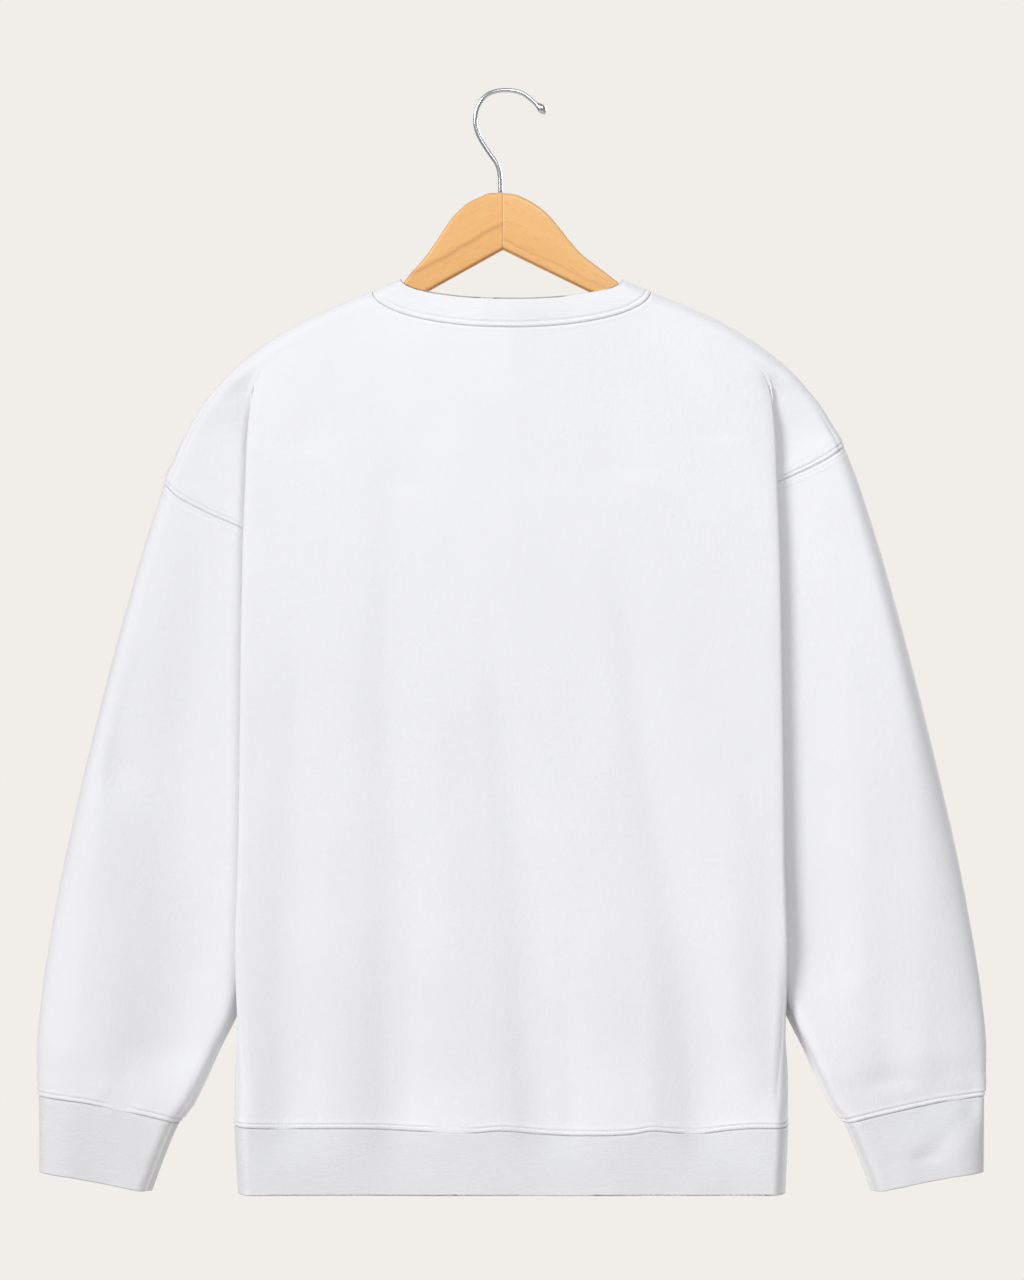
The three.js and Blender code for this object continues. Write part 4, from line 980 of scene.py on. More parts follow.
def hem_relief(sheet, relief, move):
    """Line of the hem band at its seam, and its puckers."""
    down = HEM_SEAM_Z - sheet.points[:, 2]
    move += seam_lines(down, RIB_AT_SEAM, relief.ridge)
    move += gathers(sheet.points[:, 0], down, "hem", relief.gathers)


def neck_relief(sheet, relief, move):
    """Rolled seam and stitch line of the neck band."""
    fall = -sheet.uv[sheet.ring_ids][..., 1]
    above = fall[-1:] - fall
    line = seam_lines(above, RIB_AT_NECK, relief.ridge)
    move[sheet.ring_ids] += line - stitch_groove(above, NECK_STITCH_LINE, relief.groove)


def add_relief(sheets, relief):
    """Moves the cloth along its normals for seams, gathers and unevenness."""
    for name, sheet in sheets.items():
        sheet.tight = seam_tightness(sheet.points)
        knitted_rib = "rib" in name or "cuff" in name
        move = (UNEVEN["rib"] if knitted_rib else 1) * cloth_unevenness(sheet.points)
        if name.endswith("panel"):
            panel_relief(sheet, -1 if name == "back_panel" else 1, relief, move)
        if name.startswith("sleeve"):
            sleeve_relief(sheet, relief, move)
        if name.startswith("cuff"):
            cuff_relief(sheet, relief, move)
        if name == "hem_rib":
            hem_relief(sheet, relief, move)
        if name == "neck_rib":
            neck_relief(sheet, relief, move)
        sheet.points = sheet.points + sheet.normals * move[:, None]
        sag_hem(sheet.points)


def lobe_mask(face):
    """1 for the yoke's columns outside the side fold, whose lower edge is the armhole seam."""
    return np.array([0.0 if column["at"] < VALLEY_AT else 1.0 for column in yoke_columns(face)])[None]


# Limit that keeps a sharp corner of a piece from being drawn in too far.
SHARP_CORNER = 0.4


def edge_frames(sheet):
    """For every free edge place: direction into the cloth, and how far to draw it in per unit."""
    inward = np.zeros_like(sheet.points)
    reach = np.zeros(len(sheet.points))
    a, b = sheet.edges[:, 0], sheet.edges[:, 1]
    run = sheet.points[b] - sheet.points[a]
    first, second = {}, {}
    for ends in (a, b):
        directions = unit(np.cross(sheet.normals[ends], run))
        for i, direction in zip(ends, directions):
            (second if i in first else first)[i] = direction
    for i, direction in first.items():
        other = second.get(i, direction)
        inward[i] = direction + other
        reach[i] = 1 / max(1 + float(direction @ other), SHARP_CORNER)
    return inward * reach[:, None]


RIM_STEPS = 5
# Radius of a wall's rim at a seam, and half the gap to the next piece, where the seam is open and
# where it has closed.
RIM_RADIUS = {"open": 0.42, "closed": 0.1}
HALF_GAP = {"open": SEAM_GAP / 2, "closed": 0.03}


def wall_mesh(name, sheet, round_edge):
    """A closed wall: outer skin, inner skin, and rims that are fully round on the free edge."""
    wall = sheet.wall
    inward = edge_frames(sheet)
    on_edge = np.zeros(len(sheet.points), bool)
    on_edge[np.unique(sheet.edges)] = True
    free = np.zeros(len(sheet.points), bool)
    free[round_edge] = True
    radius = np.where(free, wall / 2, mix(RIM_RADIUS["open"], RIM_RADIUS["closed"], sheet.tight))
    gap = mix(HALF_GAP["open"], HALF_GAP["closed"], sheet.tight)
    pull = np.where(on_edge, np.where(free, radius, gap + radius), 0)
    outer = sheet.points + inward * pull[:, None]
    inner_out = np.where(free | ~on_edge, 0, radius)
    inner = outer - sheet.normals * wall - inward * inner_out[:, None]
    count = len(outer)
    faces = sheet.faces()
    places = [outer, inner]
    quads = [faces, faces[:, ::-1] + count]
    edge_ids = np.unique(sheet.edges)
    rim_of = np.full(count, -1)
    rim_of[edge_ids] = np.arange(len(edge_ids))
    levels = [edge_ids]
    total = 2 * count
    turn = np.where(free[edge_ids], math.pi, math.pi / 2)
    for step in range(1, RIM_STEPS):
        angle = turn * step / RIM_STEPS
        out = inward[edge_ids] * (radius[edge_ids] * np.sin(angle))[:, None]
        deep = sheet.normals[edge_ids] * (radius[edge_ids] * (1 - np.cos(angle)))[:, None]
        places.append(outer[edge_ids] - out - deep)
        levels.append(total + np.arange(len(edge_ids)))
        total += len(edge_ids)
    levels.append(edge_ids + count)
    a, b = rim_of[sheet.edges[:, 0]], rim_of[sheet.edges[:, 1]]
    for upper, lower in zip(levels, levels[1:]):
        quads.append(np.stack([upper[b], upper[a], lower[a], lower[b]], axis=-1))
    uv = np.concatenate([sheet.uv, sheet.uv] + [sheet.uv[edge_ids]] * (RIM_STEPS - 1))
    return make_mesh(name, np.concatenate(places), np.concatenate(quads), uv)


def make_mesh(name, points, faces, uv=None):
    """A smooth mesh object from millimetre places; uv is in millimetres along the cloth."""
    mesh = bpy.data.meshes.new(name)
    mesh.from_pydata((points * MM).tolist(), [], [list(face) for face in faces])
    mesh.update()
    mesh.polygons.foreach_set("use_smooth", np.ones(len(mesh.polygons), bool))
    if uv is not None:
        layer = mesh.uv_layers.new(name="grain")
        loops = np.zeros(len(mesh.loops), int)
        mesh.loops.foreach_get("vertex_index", loops)
        layer.data.foreach_set("uv", (uv[loops] * MM).ravel())
    thing = bpy.data.objects.new(name, mesh)
    bpy.context.scene.collection.objects.link(thing)
    return thing


SHEETS = {}


def garment():
    """All sheets of the garment, made once."""
    if not SHEETS:
        sizes = sizes_now()
        cloth, rib = sizes.cloth_wall / MM, sizes.rib_wall / MM
        SHEETS["back_panel"] = panel_sheet(-1, cloth)
        SHEETS["front_panel"] = panel_sheet(1, cloth)
        for side, word in ((-1, "left"), (1, "right")):
            SHEETS["sleeve_" + word] = tube_sheet(side, sleeve_heights(side), len(ARMHOLE_PARTS) - 1, cloth)
            SHEETS["cuff_" + word] = tube_sheet(side, cuff_heights(), 0, rib)
        SHEETS["hem_rib"] = hem_sheet(rib)
        SHEETS["neck_rib"] = neck_sheet(rib)
        share_normals(SHEETS)
        add_relief(SHEETS, Relief(sizes))
    return SHEETS


class Relief:
    """Heights of the seam relief in millimetres."""

    def __init__(self, sizes):
        self.ridge = sizes.seam_ridge / MM
        self.groove = sizes.seam_groove / MM
        self.gathers = sizes.gather_height / MM


class Socket:
    """A shader value; Python sums and products of it add Math nodes."""

    def __init__(self, board, link):
        self.board = board
        self.link = link

    def math(self, operation, *values):
        node = self.board.node("ShaderNodeMath", {"operation": operation}, *values)
        return Socket(self.board, node.outputs[0])

    def __add__(self, other):
        return self.math("ADD", self, other)

    def __radd__(self, other):
        return self.math("ADD", other, self)

    def __sub__(self, other):
        return self.math("SUBTRACT", self, other)

    def __rsub__(self, other):
        return self.math("SUBTRACT", other, self)

    def __mul__(self, other):
        return self.math("MULTIPLY", self, other)

    def __rmul__(self, other):
        return self.math("MULTIPLY", other, self)

    def __truediv__(self, other):
        return self.math("DIVIDE", self, other)

    def __rtruediv__(self, other):
        return self.math("DIVIDE", other, self)

    def __pow__(self, other):
        return self.math("POWER", self, other)

    def __rpow__(self, other):
        return self.math("POWER", other, self)

    def sine(self):
        return self.math("SINE", self)

    def size(self):
        return self.math("ABSOLUTE", self)

    def limited(self, low, high):
        return self.math("MINIMUM", self.math("MAXIMUM", self, low), high)


class Board:
    """The nodes of one material or world. Sizes on it are in metres."""

    def __init__(self, tree):
        tree.nodes.clear()
        self.tree = tree

    def node(self, kind, settings=None, *values, **named):
        """Adds a node: its settings first, then the values or links of its sockets."""
        node = self.tree.nodes.new(kind)
        for key, value in (settings or {}).items():
            setattr(node, key, value)
        sockets = list(zip(node.inputs, values))
        sockets += [(node.inputs[key.replace("_", " ")], value) for key, value in named.items()]
        for socket, value in sockets:
            if isinstance(value, Socket):
                self.tree.links.new(value.link, socket)
            elif value is not None:
                socket.default_value = value
        return node

    def value(self, kind, settings=None, output=0, **named):
        node = self.node(kind, settings, **named)
        return Socket(self, node.outputs[output])

    def place(self, kind="Object"):
        """Where a point of the surface lies."""
        return self.value("ShaderNodeTexCoord", {}, kind)

    def parts(self, where):
        """The three parts of a place."""
        split = self.node("ShaderNodeSeparateXYZ", {}, where)
        return [Socket(self, output) for output in split.outputs]

    def noise(self, where, scale, detail=2.0, rough=0.5, warp=0.0):
        return self.value(
            "ShaderNodeTexNoise", {}, "Fac", Vector=where, Scale=scale, Detail=detail, Roughness=rough,
            Distortion=warp,
        )

    def bump(self, height, strength, distance):
        return self.value(
            "ShaderNodeBump", {}, "Normal", Strength=strength, Distance=distance, Height=height
        )

    def stretched(self, where, scale, turn=(0, 0, 0)):
        return self.value("ShaderNodeMapping", {}, Vector=where, Scale=scale, Rotation=turn)

    def blend(self, factor, first, second):
        """A colour between two colours."""
        node = self.node("ShaderNodeMix", {"data_type": "RGBA"}, factor)
        for socket, colour in ((node.inputs[6], first), (node.inputs[7], second)):
            if isinstance(colour, Socket):
                self.tree.links.new(colour.link, socket)
            else:
                socket.default_value = (*colour, 1)
        return Socket(self, node.outputs[2])

    def finish(self, shader, output="ShaderNodeOutputMaterial"):
        self.tree.links.new(shader.outputs[0], self.node(output).inputs["Surface"])

    def surface(self, **looks):
        """Ends the material with one surface of the given looks."""
        self.finish(self.node("ShaderNodeBsdfPrincipled", {}, **looks))


def new_material(name):
    material = bpy.data.materials.new(name)
    material.use_nodes = True
    return material, Board(material.node_tree)


# Bend of a row of loops, and the row's part in the height of the knit.
LOOP_BEND = 1.6
LOOP_PART = 0.35
FLEECE_COURSE = 0.8
RIB_COURSE = 0.6


def knit_height(board, uv, wale, course):
    """Height of a fine knit: rows of loops of the given width and height in metres."""
    u, v, _ = board.parts(uv)
    rib = (u * (2 * math.pi / wale)).sine()
    loop = (v * (2 * math.pi / course) + rib.size() * LOOP_BEND).sine()
    return rib.size() * (1 - LOOP_PART) + loop * LOOP_PART


def cloth_surface(board, finish, colour, height, distance, roughness):
    """A soft surface with a little nap over its knitted relief."""
    board.surface(
        Base_Color=colour, Normal=board.bump(height, finish.knit_strength, distance), Roughness=roughness,
        Sheen_Weight=finish.sheen, Sheen_Roughness=0.6, Specular_IOR_Level=0.2,
    )


def fleece_material(finish):
    """Brushed-back fleece with a smooth jersey face: faint wales, soft mottling with painted shade in the
    hollows of its relief, and a little nap.
    """
    material, board = new_material("white_fleece")
    uv = board.value("ShaderNodeUVMap", {"uv_map": "grain"})
    where = board.place()
    cloud = board.noise(where, scale=9.0, detail=3.0, rough=0.55)
    fluff = board.noise(where, scale=420.0, detail=4.0, rough=0.7)
    lumps = board.noise(board.stretched(where, (1.0, 1.0, 0.7)), scale=250.0, detail=3.0, rough=0.65)
    knit = knit_height(board, uv, finish.wale_width, finish.wale_width * FLEECE_COURSE)
    # The tint is random clouds of tone, and painted shade in the hollows of the lumps and fluff, whose relief
    # it follows.
    tint = (cloud * 0.9 + lumps * 0.35 + fluff * 0.25 - 0.45).limited(0, 1)
    colour = board.blend(tint, finish.fleece_mottling_and_shade, finish.fleece_colour)
    height = knit * 0.3 + fluff * 0.5 + lumps * 2.2
    cloth_surface(board, finish, colour, height, distance=0.0006, roughness=0.92)
    return material


def rib_material(name, finish, base, shade):
    """Rib knit: narrow upright ribs, close and soft."""
    material, board = new_material(name)
    uv = board.value("ShaderNodeUVMap", {"uv_map": "grain"})
    where = board.place()
    cloud = board.noise(where, scale=14.0, detail=3.0, rough=0.55)
    fluff = board.noise(where, scale=520.0, detail=3.0, rough=0.65)
    u, v, _ = board.parts(uv)
    ribs = (u * (math.pi / finish.rib_width) + cloud * 1.2).sine().size()
    courses = (v * (2 * math.pi / (RIB_COURSE * finish.rib_width)) + ribs * 2.0).sine()
    long_way = board.stretched(where, (110.0, 110.0, 640.0))
    ripple = board.noise(long_way, scale=1.0, detail=4.0, rough=0.6, warp=0.6)
    # The tint is random mottling from the clouds, and painted shade where the relief sinks: in the grooves
    # between the ribs and in the hollows of the ripple and fluff.
    tint = (cloud * 1.1 + ribs * 0.04 + ripple * 0.5 + fluff * 0.3 - 0.55).limited(0, 1)
    colour = board.blend(tint, shade, base)
    height = ribs * 0.16 + courses * 0.1 + fluff * 0.7 + ripple * 2.0
    cloth_surface(board, finish, colour, height, distance=0.0007, roughness=0.9)
    return material


def thread_material(finish):
    """Twisted polyester sewing thread."""
    material, board = new_material("white_thread")
    twist = board.noise(board.place(), scale=2600.0, rough=0.6)
    # Painted shade: the thread is darker where the twist's relief sinks, for the shade between its strands.
    colour = board.blend(twist, finish.thread_painted_shade, finish.thread_colour)
    bump = board.bump(twist, strength=0.4, distance=0.0002)
    board.surface(Base_Color=colour, Normal=bump, Roughness=0.55)
    return material


# Half width of the dark line of painted shade under the hanger's edge, and how far the streak wanders, in
# metres.
RIM_SHADE_HALF = 0.0011
STREAK_WANDER = 0.006


def wood_material(name, finish, turn, redder, streak):
    """Varnished beech: grain along the arm, fine flecks, a line of painted shade along the lower edge and a
    clear coat.
    """
    material, board = new_material(name)
    along = board.stretched(board.place(), (1.0, 1.0, 1.0), (0, turn, 0))
    grain_lines, broad, flecks, wander = (
        board.noise(board.stretched(along, scale), scale=1.0, detail=detail, rough=rough, warp=warp)
        for scale, detail, rough, warp in (
            ((7.0, 40.0, 130.0), 5.0, 0.55, 0.3), ((3.0, 8.0, 28.0), 3.0, 0.5, 0.4),
            ((110.0, 300.0, 1100.0), 2.0, 0.6, 0.0), ((22.0, 1.0, 1.0), 2.0, 0.5, 0.0),
        )
    )
    _, _, z = board.parts(along)
    wander = wander * STREAK_WANDER
    dark_streak = 1 - ((z - streak["z"] + wander).size() / streak["half"]).limited(0, 1)
    rim = 1 - ((z - streak["rim"]).size() / RIM_SHADE_HALF).limited(0, 1)
    depth = (broad * 1.3 + grain_lines * 1.1 - 0.85).limited(0, 1)
    light, deep, red = finish.wood_light, finish.wood_deep, finish.wood_red
    base = tuple(mix(a, b, redder) for a, b in zip(light, red))
    colour = board.blend(depth * 0.85, base, deep)
    colour = board.blend(dark_streak ** 1.5 * streak["strength"], colour, finish.wood_streak_and_rim_shade)
    fleck = ((flecks - 0.58) * 9.0).limited(0, 1)
    colour = board.blend(fleck * 0.3, colour, finish.wood_streak_and_rim_shade)
    # Painted shade: a dark line along the lower edge, where the rounded underside turns away from the light.
    colour = board.blend(rim * 0.6, colour, finish.wood_streak_and_rim_shade)
    bump = board.bump(grain_lines + flecks * 0.5, strength=0.15, distance=0.0003)
    board.surface(
        Base_Color=colour, Normal=bump, Roughness=grain_lines * 0.12 + 0.34,
        Coat_Weight=0.25, Coat_Roughness=0.25,
    )
    return material


def chrome_material(finish):
    """Bright plated wire with fine drawing marks."""
    material, board = new_material("bright_chrome")
    drawn = board.stretched(board.place(), (900.0, 900.0, 60.0))
    marks = board.noise(drawn, scale=1.0, detail=3.0, rough=0.6)
    colour = board.blend(marks, finish.chrome_shade, finish.chrome_colour)
    bump = board.bump(marks, strength=0.05, distance=0.0001)
    board.surface(
        Base_Color=colour, Normal=bump, Metallic=1.0, Roughness=marks * 0.08 + finish.chrome_roughness
    )
    return material


MATERIALS = {}


def material(kind, make):
    if kind not in MATERIALS:
        MATERIALS[kind] = make()
    return MATERIALS[kind]


def dress(thing, finish, node=None):
    """Gives a piece its finish and its body, and hides the node that it stands for."""
    thing.data.materials.clear()
    thing.data.materials.append(finish)
    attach(thing, BODY)
    if node:
        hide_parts(node)


# How a stitch rises out of the cloth and goes back in, in thread radii.
STITCH_ARCH = np.array([-0.7, 0.35, 0.6, 0.35, -0.7])[:, None]
OVERCAST_ARCH = np.array([-0.8, 0.5, 0.5, -0.8])[:, None]
THREAD_SIDES = 5
STITCH_SPACE = 0.9
STITCH_LIFT = -0.05
STITCH_WOBBLE = 0.12
# Threads over the armhole seam: pitch, how far they reach past the seam and into the sleeve as
# parts of the seam's own step, height over the cloth and slant as a part of the pitch.
OVERCAST = {"pitch": 3.3, "past": 0.9, "into": 0.8, "lift": 0.02, "slant": 0.4}
# Bar of thread at the middle of the back of the neck.
NECK_BAR = {"x": -1.7, "half": 11.5, "up": 1.2, "stitch": 3.4, "thicker": 1.9}


def tube_faces(rings, first=0):
    """Faces of a closed body through rings of equal count, numbered from the first place."""
    n, count = rings.shape[:2]
    ids = first + close_ring(np.arange(n * count).reshape(n, count))
    a, b, c, d = ids[:-1, :-1], ids[:-1, 1:], ids[1:, 1:], ids[1:, :-1]
    faces = np.stack([a, b, c, d], axis=-1).reshape(-1, 4).tolist()
    return faces + [ids[0, -2::-1].tolist(), ids[-1, :-1].tolist()]


def stitch_tube(points, normals, radius):
    """Rings of a short thread that lies on the cloth."""
    run = unit(np.gradient(points, axis=0))
    over = unit(np.cross(run, normals))
    angle = np.linspace(0, 2 * math.pi, THREAD_SIDES, endpoint=False)[:, None]
    return np.stack([
        point + radius * (np.cos(angle) * side + np.sin(angle) * up)
        for point, side, up in zip(points, over, normals)
    ])


def path_at(path, normals, distances):
    """Places and normals at distances along a path, and its whole length."""
    steps = np.linalg.norm(np.diff(path, axis=0), axis=1)
    run = np.concatenate([[0], np.cumsum(steps)])
    places = np.stack([np.interp(distances, run, path[:, i]) for i in range(3)], axis=-1)
    ups = np.stack([np.interp(distances, run, normals[:, i]) for i in range(3)], axis=-1)
    return places, unit(ups), run[-1]


class Stitches:
    """Stitches of one seam, joined in one mesh."""

    def __init__(self):
        self.points, self.faces, self.count = [], [], 0

    def add_tube(self, points, normals, radius):
        rings = stitch_tube(points, normals, radius)
        self.faces += tube_faces(rings, self.count)
        self.points.append(rings.reshape(-1, 3))
        self.count += len(self.points[-1])

    def run_along(self, path, normals, length, radius):
        """Stitches one after another along a path, no two of them quite alike."""
        total = path_at(path, normals, [0])[2]
        start, k = STITCH_SPACE, 0
        while start + length < total:
            end = start + length * (1 + 0.1 * math.sin(5.1 * k))
            places, ups, _ = path_at(path, normals, np.linspace(start, end, len(STITCH_ARCH)))
            shift = STITCH_WOBBLE * math.sin(2.3 * k + 0.7)
            side = unit(np.cross(ups, unit(np.gradient(places, axis=0))))
            lift = ups * (STITCH_LIFT + STITCH_ARCH * radius)
            self.add_tube(places + lift + side * shift, ups, radius)
            start += length + STITCH_SPACE * (1 + 0.25 * math.sin(3.7 * k))
            k += 1

    def cross(self, upper, upper_normals, lower, lower_normals, radius):
        """Short threads from one path to another, a little slanted and uneven."""
        pitch = OVERCAST["pitch"]
        total = path_at(upper, upper_normals, [0])[2]
        low_total = path_at(lower, lower_normals, [0])[2]
        distance, k = pitch, 0
        t = np.linspace(0, 1, len(OVERCAST_ARCH))[:, None]
        while distance < total - pitch:
            top, up_top, _ = path_at(upper, upper_normals, [distance])
            low_distance = distance / total * low_total + OVERCAST["slant"] * pitch
            low, up_low, _ = path_at(lower, lower_normals, [low_distance])
            ups = unit(mix(up_top, up_low, t))
            self.add_tube(mix(top, low, t) + ups * (OVERCAST["lift"] + OVERCAST_ARCH * radius), ups, radius)
            distance += pitch * (1 + 0.2 * math.sin(4.3 * k))
            k += 1

    def build(self, name):
        if not self.count:
            raise RuntimeError(name + " has no stitches")
        return make_mesh(name, np.concatenate(self.points), self.faces)


def length_property(name, description, default, low, high):
    return FloatProperty(
        name=name, description=description, default=default, min=low, max=high, unit="LENGTH"
    )


def power_property(name, description, default):
    return FloatProperty(name=name, description=description, default=default, min=0)


def part_property(name, description, default):
    return FloatProperty(name=name, description=description, default=default, min=0, max=1)


def colour_property(name, description, default):
    return FloatVectorProperty(
        name=name, description=description, default=default, subtype="COLOR", size=3, min=0, max=1
    )


class SweatshirtSizes(bpy.types.PropertyGroup):
    """Sizes of the cloth and its seams."""

    cloth_wall: length_property("Fleece thickness", "Thickness of the fleece", 0.002, 0.001, 0.003)
    rib_wall: length_property("Rib thickness", "Thickness of the doubled rib", 0.0028, 0.001, 0.003)
    seam_ridge: length_property("Seam ridge", "Height of the ridge beside a seam", 0.0008, 0, 0.002)
    seam_groove: length_property(
        "Stitch groove", "Depth of the groove that a stitch line pulls in", 0.0009, 0, 0.002
    )
    gather_height: length_property(
        "Gathers", "Height of the small puckers at the ribs", 0.00022, 0, 0.002
    )
    stitch_length: length_property("Stitch length", "Length of one stitch", 0.0026, 0.001, 0.006)
    thread_radius: length_property(
        "Thread radius", "Half thickness of the sewing thread", 0.00022, 0.0001, 0.001
    )


class SweatshirtFinish(bpy.types.PropertyGroup):
    """Colours and surface of the cloth, thread, wood and wire."""

    fleece_colour: colour_property("Fleece", "Colour of the fleece", (0.872, 0.87, 0.887))
    # Fleece shade: the darker end of the mottling, which also paints shade into the hollows of the relief.
    fleece_mottling_and_shade: colour_property("Fleece shade", "Darker mottling of the fleece", (0.816, 0.813, 0.833))
    # Hem and cuff rib colours: darker than the fleece, painted shade of the lower garment, where the light
    # falls off.
    shaded_rib_colour: colour_property("Rib", "Colour of the rib knit", (0.79, 0.789, 0.797))
    shaded_rib_mottling: colour_property("Rib shade", "Darker mottling of the rib", (0.722, 0.72, 0.73))
    # Neck rib colour: paler than the hem and cuff rib, painted light where the collar faces up towards the
    # light.
    lit_neck_colour: colour_property("Neck rib", "Colour of the paler neck rib", (0.895, 0.89, 0.908))
    thread_colour: colour_property("Thread", "Colour of the sewing thread", (0.88, 0.88, 0.9))
    # Thread shade: painted shade between the thread's strands.
    thread_painted_shade: colour_property("Thread shade", "Colour between the thread's strands", (0.7, 0.7, 0.72))
    wood_light: colour_property("Wood", "Lightest colour of the wood", (0.87, 0.505, 0.197))
    wood_red: colour_property("Red wood", "Redder wood of the left half", (0.872, 0.445, 0.145))
    wood_deep: colour_property("Wood grain", "Darker bands of the grain", (0.75, 0.373, 0.118))
    # Wood streak: also the colour of the painted shade line along the hanger's lower edge.
    wood_streak_and_rim_shade: colour_property("Wood streak", "Streaks and flecks of the wood", (0.5, 0.19, 0.06))
    chrome_colour: colour_property("Chrome", "Colour of the plated wire", (0.8, 0.81, 0.84))
    chrome_shade: colour_property("Chrome shade", "Colour of the drawing marks", (0.6, 0.61, 0.64))
    chrome_roughness: part_property("Chrome roughness", "Roughness of the plating", 0.2)
    sheen: part_property("Nap sheen", "Sheen of the cloth's nap", 0.12)
    knit_strength: part_property("Knit relief", "Strength of the knit's relief", 0.35)
    wale_width: length_property("Wale width", "Width of one column of loops", 0.0013, 0.0003, 0.01)
    rib_width: length_property("Rib width", "Width of one upright rib", 0.0024, 0.0005, 0.01)


class SweatshirtStage(bpy.types.PropertyGroup):
    """Floor, lights and camera."""

    floor_height: FloatProperty(
        name="Floor height", description="Height of the floor below the hook", default=-1.4, unit="LENGTH"
    )
    backdrop: colour_property("Backdrop", "Colour of the studio behind the garment", (0.88, 0.855, 0.815))
    side_level: part_property("Side level", "How bright the studio is at its sides", 0.36)
    near_colour: colour_property("Room", "Dimmer room on the side of the back", (0.285, 0.289, 0.302))
    key_power: power_property("Key light", "Strength of the key light", 1.9)
    top_power: power_property("Top light", "Power of the light above", 17.6)
    front_power: power_property("Front light", "Power of the light on the front", 70)
    lens: FloatProperty(
        name="Lens", description="Focal length of the camera in millimetres", default=135, min=20, max=300
    )


def sizes_now():
    return bpy.context.scene.sweatshirt_sizes


def finish_now():
    return bpy.context.scene.sweatshirt_finish


def fleece():
    return material("fleece", lambda: fleece_material(finish_now()))


# The hem and cuff rib: the rib material in its darker colours, painted shade.
def rib():
    finish = finish_now()
    return material("rib", lambda: rib_material("white_rib_painted_shade", finish, finish.shaded_rib_colour, finish.shaded_rib_mottling))


# The neck rib: the rib material in a paler colour, painted light on the collar.
def neck_knit_painted_light():
    finish = finish_now()
    return material("neck", lambda: rib_material("white_neck_painted_light", finish, finish.lit_neck_colour, finish.shaded_rib_colour))


def thread():
    return material("thread", lambda: thread_material(finish_now()))


def cloth_piece(name, node, look, round_edge):
    """One piece of cloth over the node that it stands for; its free edge, if any, is round."""
    piece = wall_mesh(name, garment()[node], round_edge)
    dress(piece, look, node)
    return piece


class SWEATSHIRT_OT_back_panel(bpy.types.Operator):
    """Makes the back panel with its dropped shoulders"""

    bl_idname = "sweatshirt.back_panel"
    bl_label = "Back panel"

    def execute(self, context):
        piece = cloth_piece("fleece_back", "back_panel", fleece(), [])
        return {"FINISHED"}


class SWEATSHIRT_OT_front_panel(bpy.types.Operator):
    """Makes the front panel with its dropped shoulders"""

    bl_idname = "sweatshirt.front_panel"
    bl_label = "Front panel"

    def execute(self, context):
        piece = cloth_piece("fleece_front", "front_panel", fleece(), [])
        return {"FINISHED"}


class SWEATSHIRT_OT_sleeves(bpy.types.Operator):
    """Makes the two sleeves"""

    bl_idname = "sweatshirt.sleeves"
    bl_label = "Sleeves"

    def execute(self, context):
        for word in ("left", "right"):
            piece = cloth_piece("fleece_sleeve_" + word, "sleeve_" + word, fleece(), [])
        return {"FINISHED"}


class SWEATSHIRT_OT_cuffs(bpy.types.Operator):
    """Makes the rib cuffs"""

    bl_idname = "sweatshirt.cuffs"
    bl_label = "Cuffs"

    def execute(self, context):
        for word in ("left", "right"):
            sheet = garment()["cuff_" + word]
            edge = np.concatenate([sheet.tube_ids[-1], sheet.closed_ids[-1]])
            piece = cloth_piece("rib_cuff_" + word, "cuff_" + word, rib(), edge)
        return {"FINISHED"}


class SWEATSHIRT_OT_hem_rib(bpy.types.Operator):
    """Makes the hem band"""

    bl_idname = "sweatshirt.hem_rib"
    bl_label = "Hem rib"

    def execute(self, context):
        edge = garment()["hem_rib"].ring_ids[-1]
        piece = cloth_piece("rib_hem", "hem_rib", rib(), edge)
        return {"FINISHED"}


class SWEATSHIRT_OT_neck_rib(bpy.types.Operator):
    """Makes the neck band"""

    bl_idname = "sweatshirt.neck_rib"
    bl_label = "Neck rib"

    def execute(self, context):
        edge = garment()["neck_rib"].ring_ids[0]
        piece = cloth_piece("rib_neck", "neck_rib", neck_knit_painted_light(), edge)
        return {"FINISHED"}


def row_near(distances, wanted):
    """Number of the row that lies nearest to a wanted distance."""
    return int(np.argmin(np.abs(distances - wanted)))


